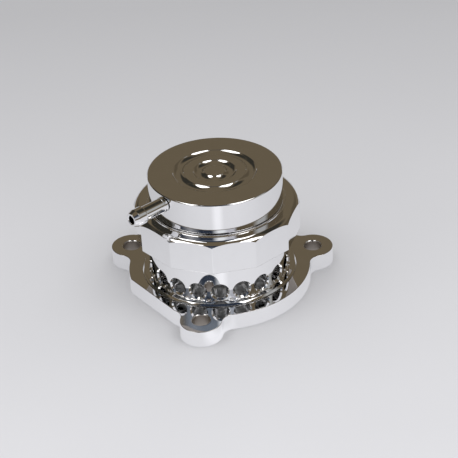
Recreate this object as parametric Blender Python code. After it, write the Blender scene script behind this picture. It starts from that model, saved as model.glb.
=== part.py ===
"""Vent-to-atmosphere blow off valve with a three-eared flange, in metres, +Z up.

The flange's underside lies on z = 0 and the valve's axis is Z. Charge air pushes up on
the piston through the flange's port. When vacuum at the hose nipple lifts the piston off
its seat, the air leaves through the ring of vent holes round the body's waist.
"""

import math

import bmesh
import bpy
from mathutils import Matrix, Vector

# Clearances between pieces
SEAT_GAP = 0.0002
FIT_GAP = 0.0002
RUNNING_GAP = 0.0002
RING_GAP = 0.00015

# Port and valve seat
PORT_RADIUS = 0.0130
PORT_CHAMFER = 0.0006
SEAT_LIP_WIDTH = 0.0016
SEAT_LIP_HEIGHT = 0.0011

# Base flange: a disc with three bolt ears and one side cut flat
FLANGE_THICKNESS = 0.0067
FLANGE_WEB = 0.0012
FLANGE_MARGIN = 0.0052
FLANGE_EDGE = 0.0002
FLAT_DEPTH = 0.0023
FLAT_ANGLE = 214.1
BOLT_HOLE_RADIUS = 0.00325
BOLT_HOLE_CHAMFER = 0.0004
EAR_WALL = 0.00465
EAR_REACH = 0.0029
EAR_FILLET = 0.0045
EAR_ANGLES = (13.9, 154.9, 258.0)

# Round seals: the section radius of each ring, and how wide its groove is
SEAL_SECTION = 0.0009
SEAL_GROOVE_WIDTH = 0.0022
CAP_SEAL_PLACE = 0.0030
FACE_SEAL_SECTION = 0.0012
FACE_SEAL_GROOVE_WIDTH = 0.0029
FACE_SEAL_LAND = 0.00335

# Piston: a cup with a face seal in its nose and two grooves in its skirt
NOSE_SEAL_OVERLAP = 0.0006
NOSE_SEAL_THICKNESS = 0.0018
NOSE_SEAL_PROTRUSION = 0.0005
NOSE_RIM = 0.0008
NOSE_THICKNESS = 0.0035
NOSE_WALL = 0.0026
SKIRT_STEP = 0.00215
SKIRT_OVERLAP = 0.0005
SKIRT_WALL = 0.0010
LOWER_LAND = 0.0018
MIDDLE_LAND = 0.0022
UPPER_LAND = 0.0023
PISTON_CHAMFER = 0.0006
PISTON_POCKET_HEIGHT = 0.0110
GUIDE_BAND_HEIGHT = 0.0026
GUIDE_BAND_THICKNESS = 0.0009

# Valve body: spigot, foot ring, vented waist, twelve-sided section and cap bore
CHAMBER_RELIEF = 0.0020
CHAMBER_SPACE = 0.0022
CYLINDER_LEAD_IN = 0.0005
SPIGOT_WALL = 0.0035
WAIST_WALL = 0.0065
WAIST_FILLET = 0.0004
FOOT_WIDTH = 0.0029
FOOT_HEIGHT = 0.0008
VENT_COUNT = 20
VENT_WEB = 0.00044
VENT_COUNTERSINK = 0.0006
VENT_FOOT_SPACE = 0.0002
VENT_FACET_SPACE = 0.0082
VENT_PHASE = -0.9
FACET_COUNT = 12
FACET_HEIGHT = 0.01107
FACET_PHASE = 25.3
TURNING_ALLOWANCE = 0.0003
SHOULDER_CHAMFER = 0.00179
SHOULDER_SLOPE = 45.0
SHOULDER_WIDTH = 0.00355
STEP_WIDTH = 0.0005
STEP_HEIGHT = 0.0004

# Top cap
CAP_HOLLOW_RELIEF = 0.0005
CAP_SPIGOT_WALL = 0.0028
CAP_SPIGOT_LENGTH = 0.0066
CAP_SHOULDER = 0.0036
CAP_WALL_HEIGHT = 0.01214
CAP_EDGE = 0.0003
CAP_CROWN_THICKNESS = 0.0078
CAP_GROOVE_RADII = (0.0060, 0.0137)
CAP_GROOVE_HALF_WIDTH = 0.0021
CAP_GROOVE_DEPTH = 0.00094

# Hose nipple and the drillings behind it
NIPPLE_ANGLE = 220.7
NIPPLE_DROP = 0.0034
NIPPLE_REACH = 0.0156
NIPPLE_BORE_RADIUS = 0.0016
NIPPLE_MOUTH_CHAMFER = 0.0003
NIPPLE_TIP_RADIUS = 0.0025
NIPPLE_SHANK_RADIUS = 0.0028
NIPPLE_BARB_STEP = 0.0005
NIPPLE_BARB_CONE = 0.0020
NIPPLE_BARB_LENGTH = 0.0052
NIPPLE_COLLAR_STEP = 0.0002
NIPPLE_COLLAR_LENGTH = 0.0016
NIPPLE_STEM_RADIUS = 0.0022
NIPPLE_STEM_LENGTH = 0.0052
CROSS_DRILLING_RADIUS = 0.0015
CROSS_DRILLING_WALL = 0.0013

# Spring and preload shim
WIRE_RADIUS = 0.0009
SPRING_SIDE_SPACE = 0.0010
ACTIVE_COILS = 5.0
END_COILS = 1.25
END_COIL_SPACE = 0.0002
GROUND_DEPTH = 0.0005
SPRING_POCKET_DEPTH = 0.0030
SHIM_THICKNESS = 0.0010
SHIM_WIDTH = 0.0036

# Facets of the round pieces
LARGE_SEGMENTS = 48
MEDIUM_SEGMENTS = 48
SMALL_SEGMENTS = 40
SEAL_SEGMENTS = 28
BOLT_HOLE_SEGMENTS = 20
VENT_SEGMENTS = 12
NIPPLE_SEGMENTS = 20
SEAL_SECTION_SEGMENTS = 6
WIRE_SEGMENTS = 6
WIRE_STEPS_PER_COIL = 16
FILLET_STEPS = 3
GROOVE_STEPS = 5
EAR_STEPS = 12
DISC_STEP_ANGLE = 6.0
SMOOTH_ANGLE = 35.0
CUT_MARGIN = 0.0010

# Radii that follow, from the port outward
nose_seal_inner = PORT_RADIUS - NOSE_SEAL_OVERLAP
nose_seal_outer = PORT_RADIUS + SEAT_LIP_WIDTH + NOSE_SEAL_OVERLAP
nose_radius = nose_seal_outer + RING_GAP + NOSE_RIM
piston_radius = nose_radius + SKIRT_STEP
cylinder_radius = piston_radius + RUNNING_GAP
chamber_radius = cylinder_radius + CHAMBER_RELIEF
spigot_radius = chamber_radius + SPIGOT_WALL
waist_radius = chamber_radius + WAIST_WALL
foot_radius = waist_radius + FOOT_WIDTH
vent_radius = math.pi * chamber_radius / VENT_COUNT - VENT_WEB / 2.0
flange_radius = foot_radius + FLANGE_MARGIN
flat_distance = flange_radius - FLAT_DEPTH
bolt_circle_radius = flange_radius + EAR_REACH
ear_radius = BOLT_HOLE_RADIUS + EAR_WALL
cap_hollow_radius = cylinder_radius + CAP_HOLLOW_RELIEF
cap_spigot_radius = cap_hollow_radius + CAP_SPIGOT_WALL
cap_bore_radius = cap_spigot_radius + FIT_GAP
cap_radius = cap_spigot_radius + CAP_SHOULDER
step_radius = cap_radius + STEP_WIDTH
shoulder_radius = step_radius + STEP_HEIGHT + SHOULDER_WIDTH
corner_radius = shoulder_radius + SHOULDER_CHAMFER
piston_pocket_radius = nose_radius - NOSE_WALL
spring_radius = piston_pocket_radius - SPRING_SIDE_SPACE - WIRE_RADIUS
shim_radius = spring_radius + WIRE_RADIUS + FIT_GAP
spring_pocket_radius = shim_radius + FIT_GAP
cross_drilling_place = spring_pocket_radius + CROSS_DRILLING_WALL + CROSS_DRILLING_RADIUS
body_seal_radius = (chamber_radius + spigot_radius) / 2.0
face_seal_radius = PORT_RADIUS + FACE_SEAL_LAND + FACE_SEAL_GROOVE_WIDTH / 2.0

# Heights that follow, from the underside up
seal_space = 2.0 * (SEAL_SECTION + RING_GAP)
face_groove_depth = 2.0 * (FACE_SEAL_SECTION + RING_GAP)
flange_top = FLANGE_THICKNESS
recess_floor = face_groove_depth + FLANGE_WEB
lip_top = recess_floor + SEAT_LIP_HEIGHT
spigot_bottom = recess_floor + SEAT_GAP
body_bottom = flange_top + SEAT_GAP
foot_top = body_bottom + FOOT_HEIGHT
vent_z = foot_top + VENT_FOOT_SPACE + VENT_COUNTERSINK + vent_radius
chamber_top = vent_z + vent_radius + CHAMBER_SPACE
facet_bottom = vent_z + vent_radius + VENT_FACET_SPACE
corner_top = facet_bottom + FACET_HEIGHT
shoulder_slope = math.tan(math.radians(SHOULDER_SLOPE))
shoulder_z = corner_top + SHOULDER_CHAMFER * shoulder_slope
step_top = shoulder_z + STEP_HEIGHT
cap_bottom = step_top + SEAT_GAP
cap_top = cap_bottom + CAP_WALL_HEIGHT
cap_spigot_bottom = cap_bottom - CAP_SPIGOT_LENGTH
cap_bore_floor = cap_spigot_bottom - SEAT_GAP
crown_underside = cap_top - CAP_CROWN_THICKNESS
spring_roof = crown_underside + SPRING_POCKET_DEPTH
nipple_z = cap_top - NIPPLE_DROP
nose_bottom = lip_top + SEAT_GAP + NOSE_SEAL_PROTRUSION
pocket_floor = nose_bottom + NOSE_THICKNESS
skirt_bottom = chamber_top + CYLINDER_LEAD_IN + SKIRT_OVERLAP
band_groove_low = skirt_bottom + LOWER_LAND
band_groove_top = band_groove_low + GUIDE_BAND_HEIGHT + 2.0 * RING_GAP
ring_groove_low = band_groove_top + MIDDLE_LAND
ring_groove_top = ring_groove_low + SEAL_GROOVE_WIDTH
piston_top = ring_groove_top + UPPER_LAND
shim_bottom = spring_roof - SEAT_GAP - SHIM_THICKNESS


def clear_scene():
    for old in list(bpy.data.objects):
        bpy.data.objects.remove(old, do_unlink=True)


def metal_or_rubber(name, colour, roughness, metallic):
    """A material with one Principled shader."""
    material = bpy.data.materials.new(name)
    material.use_nodes = True
    shader = material.node_tree.nodes["Principled BSDF"]
    shader.inputs["Base Color"].default_value = (*colour, 1.0)
    shader.inputs["Roughness"].default_value = roughness
    shader.inputs["Metallic"].default_value = metallic
    return material


def make_object(name, shape, material=None):
    """Turns a bmesh into an object, smooth across its shallow edges."""
    mesh = bpy.data.meshes.new(name)
    shape.to_mesh(mesh)
    shape.free()
    mesh.shade_smooth()
    mesh.set_sharp_from_angle(angle=math.radians(SMOOTH_ANGLE))
    if material:
        mesh.materials.append(material)
    made = bpy.data.objects.new(name, mesh)
    bpy.context.scene.collection.objects.link(made)
    return made


def boolean(target, name, shape, operation="DIFFERENCE"):
    """Cuts or trims an object with a hidden helper."""
    helper = make_object(name, shape)
    helper.hide_render = True
    helper.display_type = "WIRE"
    modifier = target.modifiers.new(name, "BOOLEAN")
    modifier.operation = operation
    modifier.solver = "EXACT"
    modifier.object = helper


def turned(profile, segments, phase=0.0):
    """A closed body of revolution about Z, from its outline as (radius, height) points."""
    shape = bmesh.new()
    points = [shape.verts.new((radius, 0.0, height)) for radius, height in profile]
    edges = [shape.edges.new(pair) for pair in zip(points, points[1:])]
    if profile[0][0] > 0.0 or profile[-1][0] > 0.0:
        edges.append(shape.edges.new((points[-1], points[0])))
    bmesh.ops.spin(
        shape,
        geom=points + edges,
        cent=(0.0, 0.0, 0.0),
        axis=(0.0, 0.0, 1.0),
        angle=2.0 * math.pi,
        steps=segments,
        use_merge=True,
        use_duplicate=False,
    )
    bmesh.ops.remove_doubles(shape, verts=shape.verts, dist=1e-7)
    bmesh.ops.recalc_face_normals(shape, faces=shape.faces)
    shape.transform(Matrix.Rotation(math.radians(phase), 4, "Z"))
    return shape


def arc(centre, radius, start, end, steps):
    """Points along an arc, with angles in degrees from +X."""
    found = []
    for step in range(steps + 1):
        angle = math.radians(start + (end - start) * step / steps)
        found.append((centre[0] + radius * math.cos(angle), centre[1] + radius * math.sin(angle)))
    return found


def joined(shapes):
    """Several closed shapes in one bmesh, each still separate."""
    whole = bmesh.new()
    for shape in shapes:
        part = bpy.data.meshes.new("joined_part")
        shape.to_mesh(part)
        shape.free()
        whole.from_mesh(part)
        bpy.data.meshes.remove(part)
    return whole


def prism(outline, low, high):
    """An outline in the XY plane, drawn up from low to high."""
    shape = bmesh.new()
    bottom = shape.faces.new([shape.verts.new((x, y, low)) for x, y in outline])
    drawn = bmesh.ops.extrude_face_region(shape, geom=[bottom])
    top = [item for item in drawn["geom"] if isinstance(item, bmesh.types.BMVert)]
    bmesh.ops.translate(shape, vec=(0.0, 0.0, high - low), verts=top)
    bmesh.ops.recalc_face_normals(shape, faces=shape.faces)
    return shape


def ring_seal(name, radius, section, height, material):
    """A round-section seal: a ring of one radius, centred at one height."""
    profile = arc((radius, height), section, 0.0, 360.0, SEAL_SECTION_SEGMENTS)[:-1]
    make_object(name, turned(profile, SEAL_SEGMENTS), material)


def rectangular_ring(inner, outer, low, high):
    return [(inner, low), (outer, low), (outer, high), (inner, high)]


def direction(degrees):
    return Vector((math.cos(math.radians(degrees)), math.sin(math.radians(degrees))))


def angle_of(vector):
    return math.degrees(math.atan2(vector[1], vector[0]))


def turn_to(start, end, way):
    """The end angle moved by whole turns, so that start to end runs the given way."""
    while way * (end - start) < 0.0:
        end += way * 360.0
    while way * (end - start) >= 360.0:
        end -= way * 360.0
    return end


def flat_half(inset):
    """Half of the angle, seen from the axis, that the flat takes from the disc's edge."""
    return math.degrees(math.acos((flat_distance - inset) / (flange_radius - inset)))


def ear_fillet(ear_angle, side):
    """The centre of the fillet beside an ear, and the angle to where it leaves the disc."""
    ear = direction(ear_angle) * bolt_circle_radius
    reach = ear_radius + EAR_FILLET
    out = flange_radius + EAR_FILLET
    cosine = (out**2 + bolt_circle_radius**2 - reach**2) / (2.0 * out * bolt_circle_radius)
    centre = direction(ear_angle + side * math.degrees(math.acos(cosine))) * out
    normal = direction(FLAT_ANGLE)
    if centre.dot(normal) * flange_radius / out <= flat_distance:
        return centre, angle_of(-centre)
    along = direction(FLAT_ANGLE + 90.0)
    rise = flat_distance + EAR_FILLET - ear.dot(normal)
    place = ear.dot(along) + side * math.sqrt(reach**2 - rise**2)
    return normal * (flat_distance + EAR_FILLET) + along * place, angle_of(-normal)


def concave_arc(centre, inset, start, end):
    return arc(centre, EAR_FILLET + inset, start, turn_to(start, end, -1.0), FILLET_STEPS)


def disc_run(start, end, inset):
    """The disc's edge between two ears, as far as the flat leaves it."""
    corners = [turn_to(start, FLAT_ANGLE + side * flat_half(0.0), 1.0) for side in (-1.0, 1.0)]
    draw_in = flat_half(inset) - flat_half(0.0)
    found = []
    for first, last in ((start, min(end, corners[0])), (corners[1], end)):
        if first >= last:
            continue
        steps = max(1, round((last - first) / DISC_STEP_ANGLE))
        first += draw_in if first == corners[1] else 0.0
        last -= draw_in if last == corners[0] else 0.0
        found += arc((0.0, 0.0), flange_radius - inset, first, last, steps)
    return found


def flange_outline(inset):
    """The flange's outline, counter-clockwise, drawn in by an inset all the way round."""
    outline = []
    for place, ear_angle in enumerate(EAR_ANGLES):
        ear = direction(ear_angle) * bolt_circle_radius
        before, arrive = ear_fillet(ear_angle, -1.0)
        after, leave = ear_fillet(ear_angle, 1.0)
        start = angle_of(before - ear)
        end = turn_to(start, angle_of(after - ear), 1.0)
        outline += concave_arc(before, inset, arrive, angle_of(ear - before))
        outline += arc(ear, ear_radius - inset, start, end, EAR_STEPS)[1:-1]
        outline += concave_arc(after, inset, angle_of(ear - after), leave)
        following, meeting = ear_fillet(EAR_ANGLES[(place + 1) % len(EAR_ANGLES)], -1.0)
        on_flat = following.dot(direction(FLAT_ANGLE)) > flat_distance
        run_start = angle_of(after)
        run_end = turn_to(run_start, FLAT_ANGLE if on_flat else meeting + 180.0, 1.0)
        run = disc_run(run_start, run_end, inset)
        outline += run[1:] if on_flat else run[1:-1]
    return outline


def flange_blank():
    """The eared plate, with a small chamfer round its upper edge."""
    shape = bmesh.new()
    levels = ((0.0, 0.0), (0.0, flange_top - FLANGE_EDGE), (FLANGE_EDGE, flange_top))
    loops = []
    for inset, height in levels:
        loops.append([shape.verts.new((x, y, height)) for x, y in flange_outline(inset)])
    shape.faces.new(loops[0])
    shape.faces.new(loops[-1])
    for low, high in zip(loops, loops[1:]):
        for step in range(len(low)):
            onward = (step + 1) % len(low)
            shape.faces.new((low[step], low[onward], high[onward], high[step]))
    bmesh.ops.recalc_face_normals(shape, faces=shape.faces)
    return shape


def build_base_flange(material):
    flange = make_object("base_flange", flange_blank(), material)
    lip_outer = PORT_RADIUS + SEAT_LIP_WIDTH
    recess_radius = spigot_radius + FIT_GAP
    groove_inner = body_seal_radius - SEAL_GROOVE_WIDTH / 2.0
    groove_outer = body_seal_radius + SEAL_GROOVE_WIDTH / 2.0
    groove_floor = spigot_bottom - seal_space
    port_and_recess = [
        (0.0, -CUT_MARGIN),
        (PORT_RADIUS + PORT_CHAMFER + CUT_MARGIN, -CUT_MARGIN),
        (PORT_RADIUS, PORT_CHAMFER),
        (PORT_RADIUS, lip_top),
        (lip_outer, lip_top),
        (lip_outer, recess_floor),
        (groove_inner, recess_floor),
        (groove_inner, groove_floor),
        (groove_outer, groove_floor),
        (groove_outer, recess_floor),
        (recess_radius, recess_floor),
        (recess_radius, flange_top + CUT_MARGIN),
        (0.0, flange_top + CUT_MARGIN),
    ]
    face_groove = rectangular_ring(
        face_seal_radius - FACE_SEAL_GROOVE_WIDTH / 2.0,
        face_seal_radius + FACE_SEAL_GROOVE_WIDTH / 2.0,
        -CUT_MARGIN,
        face_groove_depth,
    )
    wide = BOLT_HOLE_RADIUS + BOLT_HOLE_CHAMFER + CUT_MARGIN
    bolt_hole = [
        (0.0, -CUT_MARGIN),
        (wide, -CUT_MARGIN),
        (BOLT_HOLE_RADIUS, BOLT_HOLE_CHAMFER),
        (BOLT_HOLE_RADIUS, flange_top - BOLT_HOLE_CHAMFER),
        (wide, flange_top + CUT_MARGIN),
        (0.0, flange_top + CUT_MARGIN),
    ]
    cuts = [turned(port_and_recess, SMALL_SEGMENTS), turned(face_groove, SMALL_SEGMENTS)]
    for ear_angle in EAR_ANGLES:
        hole = turned(bolt_hole, BOLT_HOLE_SEGMENTS)
        place = direction(ear_angle) * bolt_circle_radius
        hole.transform(Matrix.Translation((place.x, place.y, 0.0)))
        cuts.append(hole)
    boolean(flange, "flange_cuts", joined(cuts))


def build_valve_body(material):
    """One turned piece: its waist is drilled all round and its upper part has flats."""
    blank_radius = corner_radius + TURNING_ALLOWANCE
    blank_top = shoulder_z - (blank_radius - shoulder_radius) * shoulder_slope
    fillet_middle = (waist_radius + WAIST_FILLET, foot_top + WAIST_FILLET)
    waist_fillet = arc(fillet_middle, WAIST_FILLET, 270.0, 180.0, FILLET_STEPS)
    profile = [
        (chamber_radius, spigot_bottom),
        (spigot_radius, spigot_bottom),
        (spigot_radius, body_bottom),
        (foot_radius, body_bottom),
        (foot_radius - FOOT_HEIGHT, foot_top),
        *waist_fillet,
        (waist_radius, facet_bottom),
        (blank_radius, facet_bottom),
        (blank_radius, blank_top),
        (shoulder_radius, shoulder_z),
        (step_radius + STEP_HEIGHT, shoulder_z),
        (step_radius, step_top),
        (cap_bore_radius, step_top),
        (cap_bore_radius, cap_bore_floor),
        (cylinder_radius, cap_bore_floor),
        (cylinder_radius, chamber_top + CYLINDER_LEAD_IN),
        (cylinder_radius + CYLINDER_LEAD_IN, chamber_top),
        (chamber_radius, chamber_top),
    ]
    body = make_object("valve_body", turned(profile, LARGE_SEGMENTS), material)
    corners = arc((0.0, 0.0), corner_radius, FACET_PHASE, FACET_PHASE + 360.0, FACET_COUNT)
    flats = prism(corners[:-1], spigot_bottom - CUT_MARGIN, step_top + CUT_MARGIN)
    boolean(body, "facet_trim", flats, "INTERSECT")
    boolean(body, "vent_drill", vent_cutters())


def vent_cutters():
    """Drills for the ring of vents, each with a countersink at the waist's surface."""
    sink_radius = vent_radius + VENT_COUNTERSINK
    drill = [
        (0.0, chamber_radius - CUT_MARGIN),
        (vent_radius, chamber_radius - CUT_MARGIN),
        (vent_radius, waist_radius - VENT_COUNTERSINK),
        (sink_radius, waist_radius),
        (sink_radius, foot_radius + CUT_MARGIN),
        (0.0, foot_radius + CUT_MARGIN),
    ]
    drills = []
    for place in range(VENT_COUNT):
        cutter = turned(drill, VENT_SEGMENTS, 180.0 / VENT_SEGMENTS)
        drills.append(lay_radial(cutter, VENT_PHASE + 360.0 * place / VENT_COUNT, vent_z))
    return joined(drills)


def cap_groove(middle):
    """One round-bottomed groove in the cap's top, from its outer edge to its inner edge."""
    half, depth = CAP_GROOVE_HALF_WIDTH, CAP_GROOVE_DEPTH
    radius = (half**2 + depth**2) / (2.0 * depth)
    spread = math.degrees(math.asin(half / radius))
    return arc((middle, cap_top - depth + radius), radius, 270.0 + spread, 270.0 - spread, GROOVE_STEPS)


def build_top_cap(material):
    seal_top = cap_bottom - CAP_SEAL_PLACE + SEAL_GROOVE_WIDTH / 2.0
    seal_low = seal_top - SEAL_GROOVE_WIDTH
    seal_floor = cap_bore_radius - seal_space
    grooves = [point for middle in reversed(CAP_GROOVE_RADII) for point in cap_groove(middle)]
    profile = [
        (0.0, spring_roof),
        (spring_pocket_radius, spring_roof),
        (spring_pocket_radius, crown_underside),
        (cap_hollow_radius, crown_underside),
        (cap_hollow_radius, cap_spigot_bottom),
        (cap_spigot_radius, cap_spigot_bottom),
        (cap_spigot_radius, seal_low),
        (seal_floor, seal_low),
        (seal_floor, seal_top),
        (cap_spigot_radius, seal_top),
        (cap_spigot_radius, cap_bottom),
        (cap_radius, cap_bottom),
        (cap_radius, cap_top - CAP_EDGE),
        (cap_radius - CAP_EDGE, cap_top),
        *grooves,
        (0.0, cap_top),
    ]
    cap = make_object("top_cap", turned(profile, MEDIUM_SEGMENTS), material)
    boolean(cap, "nipple_drilling", nipple_drilling())
    boolean(cap, "cross_drilling", cross_drilling())


def lay_radial(shape, degrees, height):
    """Turns a shape made along Z so that it points out from the axis at one height."""
    turn = Matrix.Rotation(math.radians(degrees), 4, "Z")
    lay_flat = Matrix.Rotation(math.radians(90.0), 4, "Y")
    shape.transform(Matrix.Translation((0.0, 0.0, height)) @ turn @ lay_flat)
    return shape


def nipple_drilling():
    """The tapped hole for the nipple's stem, and the air way inward from it."""
    hole_radius = NIPPLE_STEM_RADIUS + FIT_GAP
    hole_bottom = cap_radius - NIPPLE_STEM_LENGTH - SEAT_GAP
    drill = [
        (0.0, cross_drilling_place),
        (CROSS_DRILLING_RADIUS, cross_drilling_place),
        (CROSS_DRILLING_RADIUS, hole_bottom),
        (hole_radius, hole_bottom),
        (hole_radius, cap_radius + CUT_MARGIN),
        (0.0, cap_radius + CUT_MARGIN),
    ]
    return lay_radial(turned(drill, NIPPLE_SEGMENTS), NIPPLE_ANGLE, nipple_z)


def cross_drilling():
    """The drilling from the cap's hollow up to the nipple's air way."""
    place = direction(NIPPLE_ANGLE) * cross_drilling_place
    drill = turned(
        [
            (0.0, crown_underside - CUT_MARGIN),
            (CROSS_DRILLING_RADIUS, crown_underside - CUT_MARGIN),
            (CROSS_DRILLING_RADIUS, nipple_z),
            (0.0, nipple_z),
        ],
        NIPPLE_SEGMENTS,
    )
    drill.transform(Matrix.Translation((place.x, place.y, 0.0)))
    return drill


def build_hose_nipple(material):
    """A turned nipple with one barb. It is made along its own Z and laid radially."""
    tip = NIPPLE_REACH
    barb_back = tip - NIPPLE_BARB_LENGTH
    barb_radius = NIPPLE_SHANK_RADIUS + NIPPLE_BARB_STEP
    collar_radius = NIPPLE_SHANK_RADIUS + NIPPLE_COLLAR_STEP
    profile = [
        (NIPPLE_BORE_RADIUS, -NIPPLE_STEM_LENGTH),
        (NIPPLE_STEM_RADIUS, -NIPPLE_STEM_LENGTH),
        (NIPPLE_STEM_RADIUS, SEAT_GAP),
        (collar_radius, SEAT_GAP),
        (collar_radius, NIPPLE_COLLAR_LENGTH),
        (NIPPLE_SHANK_RADIUS, NIPPLE_COLLAR_LENGTH),
        (NIPPLE_SHANK_RADIUS, barb_back - NIPPLE_BARB_STEP),
        (barb_radius, barb_back),
        (barb_radius, tip - NIPPLE_BARB_CONE),
        (NIPPLE_TIP_RADIUS, tip),
        (NIPPLE_BORE_RADIUS + NIPPLE_MOUTH_CHAMFER, tip),
        (NIPPLE_BORE_RADIUS, tip - NIPPLE_MOUTH_CHAMFER),
    ]
    nipple = make_object("hose_nipple", turned(profile, NIPPLE_SEGMENTS), material)
    root = direction(NIPPLE_ANGLE) * cap_radius
    nipple.location = (root.x, root.y, nipple_z)
    nipple.rotation_euler = (0.0, math.radians(90.0), math.radians(NIPPLE_ANGLE))


def build_piston(material):
    """A cup, open upward, with a seal groove in its nose and two grooves in its skirt."""
    seal_roof = nose_bottom - NOSE_SEAL_PROTRUSION + NOSE_SEAL_THICKNESS + RING_GAP
    band_floor = piston_radius - GUIDE_BAND_THICKNESS
    ring_floor = cylinder_radius - seal_space
    pocket_top = pocket_floor + PISTON_POCKET_HEIGHT
    profile = [
        (0.0, nose_bottom),
        (nose_seal_inner - RING_GAP, nose_bottom),
        (nose_seal_inner - RING_GAP, seal_roof),
        (nose_seal_outer + RING_GAP, seal_roof),
        (nose_seal_outer + RING_GAP, nose_bottom),
        (nose_radius, nose_bottom),
        (nose_radius, skirt_bottom - SKIRT_STEP),
        (piston_radius, skirt_bottom),
        (piston_radius, band_groove_low),
        (band_floor, band_groove_low),
        (band_floor, band_groove_top),
        (piston_radius, band_groove_top),
        (piston_radius, ring_groove_low),
        (ring_floor, ring_groove_low),
        (ring_floor, ring_groove_top),
        (piston_radius, ring_groove_top),
        (piston_radius, piston_top - PISTON_CHAMFER),
        (piston_radius - PISTON_CHAMFER, piston_top),
        (ring_floor - SKIRT_WALL, piston_top),
        (ring_floor - SKIRT_WALL, pocket_top),
        (piston_pocket_radius, pocket_top),
        (piston_pocket_radius, pocket_floor),
        (0.0, pocket_floor),
    ]
    make_object("piston", turned(profile, SMALL_SEGMENTS), material)


def build_nose_seal(material):
    low = nose_bottom - NOSE_SEAL_PROTRUSION
    profile = rectangular_ring(nose_seal_inner, nose_seal_outer, low, low + NOSE_SEAL_THICKNESS)
    make_object("nose_seal", turned(profile, SMALL_SEGMENTS), material)


def build_guide_band(material):
    low = band_groove_low + RING_GAP
    inner = piston_radius - GUIDE_BAND_THICKNESS + RING_GAP
    outer = piston_radius + RUNNING_GAP / 4.0
    profile = rectangular_ring(inner, outer, low, low + GUIDE_BAND_HEIGHT)
    make_object("piston_guide_band", turned(profile, SMALL_SEGMENTS), material)


def build_seals(material):
    to_middle = RING_GAP + SEAL_SECTION
    piston_height = (ring_groove_low + ring_groove_top) / 2.0
    ring_seal("piston_o_ring", cylinder_radius - to_middle, SEAL_SECTION, piston_height, material)
    cap_height = cap_bottom - CAP_SEAL_PLACE
    ring_seal("cap_o_ring", cap_bore_radius - to_middle, SEAL_SECTION, cap_height, material)
    ring_seal("body_o_ring", body_seal_radius, SEAL_SECTION, spigot_bottom - to_middle, material)
    face_height = FACE_SEAL_SECTION + RING_GAP
    ring_seal("flange_o_ring", face_seal_radius, FACE_SEAL_SECTION, face_height, material)


def build_shim(material):
    profile = rectangular_ring(
        shim_radius - SHIM_WIDTH, shim_radius, shim_bottom, shim_bottom + SHIM_THICKNESS
    )
    make_object("preload_shim", turned(profile, SMALL_SEGMENTS), material)


def spring_height(turns, low, high):
    """Height of the wire's middle after some turns: close coils at both ends."""
    end_pitch = 2.0 * WIRE_RADIUS + END_COIL_SPACE
    end_rise = END_COILS * end_pitch
    if turns < END_COILS:
        return low + turns * end_pitch
    if turns > END_COILS + ACTIVE_COILS:
        return high - (2.0 * END_COILS + ACTIVE_COILS - turns) * end_pitch
    share = (turns - END_COILS) / ACTIVE_COILS
    return low + end_rise + share * (high - low - 2.0 * end_rise)


def build_spring(material):
    """A helical spring whose end coils are closed and ground flat."""
    seat = pocket_floor + SEAT_GAP
    top = shim_bottom - SEAT_GAP
    low = seat - GROUND_DEPTH + WIRE_RADIUS
    high = top + GROUND_DEPTH - WIRE_RADIUS
    turns = 2.0 * END_COILS + ACTIVE_COILS
    steps = round(turns * WIRE_STEPS_PER_COIL)
    shape = bmesh.new()
    loops = []
    for step in range(steps + 1):
        turned_by = turns * step / steps
        angle = 2.0 * math.pi * turned_by
        height = spring_height(turned_by, low, high)
        loop = []
        for radius, rise in arc((spring_radius, height), WIRE_RADIUS, 0.0, 360.0, WIRE_SEGMENTS)[:-1]:
            loop.append(shape.verts.new((radius * math.cos(angle), radius * math.sin(angle), rise)))
        loops.append(loop)
    for this, following in zip(loops, loops[1:]):
        for side in range(WIRE_SEGMENTS):
            onward = (side + 1) % WIRE_SEGMENTS
            shape.faces.new((this[side], this[onward], following[onward], following[side]))
    shape.faces.new(loops[0])
    shape.faces.new(loops[-1])
    bmesh.ops.recalc_face_normals(shape, faces=shape.faces)
    spring = make_object("spring", shape, material)
    reach = spring_radius + WIRE_RADIUS + CUT_MARGIN
    ground = turned([(0.0, seat), (reach, seat), (reach, top), (0.0, top)], SMALL_SEGMENTS)
    boolean(spring, "grinding", ground, "INTERSECT")


def stand_on_footprint():
    """Puts the middle of the flange's footprint on the origin, with the valve's axis beside it."""
    outline = flange_outline(0.0)
    middle = [(min(values) + max(values)) / 2.0 for values in zip(*outline)]
    valve_axis = bpy.data.objects.new("valve_axis", None)
    valve_axis.location = (-middle[0], -middle[1], 0.0)
    for piece in bpy.context.scene.collection.objects:
        piece.parent = valve_axis
    bpy.context.scene.collection.objects.link(valve_axis)


def main():
    clear_scene()
    aluminium = metal_or_rubber("polished_aluminium", (0.80, 0.80, 0.81), 0.08, 1.0)
    piston_metal = metal_or_rubber("hard_anodised_aluminium", (0.45, 0.45, 0.44), 0.35, 1.0)
    spring_steel = metal_or_rubber("spring_steel", (0.42, 0.42, 0.44), 0.30, 1.0)
    shim_steel = metal_or_rubber("shim_steel", (0.60, 0.60, 0.62), 0.25, 1.0)
    rubber = metal_or_rubber("seal_rubber", (0.02, 0.02, 0.02), 0.60, 0.0)
    band_plastic = metal_or_rubber("guide_band_plastic", (0.75, 0.72, 0.65), 0.45, 0.0)
    build_base_flange(aluminium)
    build_valve_body(aluminium)
    build_top_cap(aluminium)
    build_hose_nipple(aluminium)
    build_piston(piston_metal)
    build_nose_seal(rubber)
    build_guide_band(band_plastic)
    build_seals(rubber)
    build_shim(shim_steel)
    build_spring(spring_steel)
    stand_on_footprint()


main()
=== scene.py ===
"""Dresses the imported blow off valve: finely turned and polished pieces, in a plain pale studio.

Every piece is made round the valve's own axis, which the frame's cap gives, with the
flange's underside at z = 0. Sizes are in metres and angles in degrees from +X.
"""

import math
from functools import partial

import bmesh
import bpy
from bpy.props import FloatProperty, FloatVectorProperty, PointerProperty
from mathutils import Matrix, Vector


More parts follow.
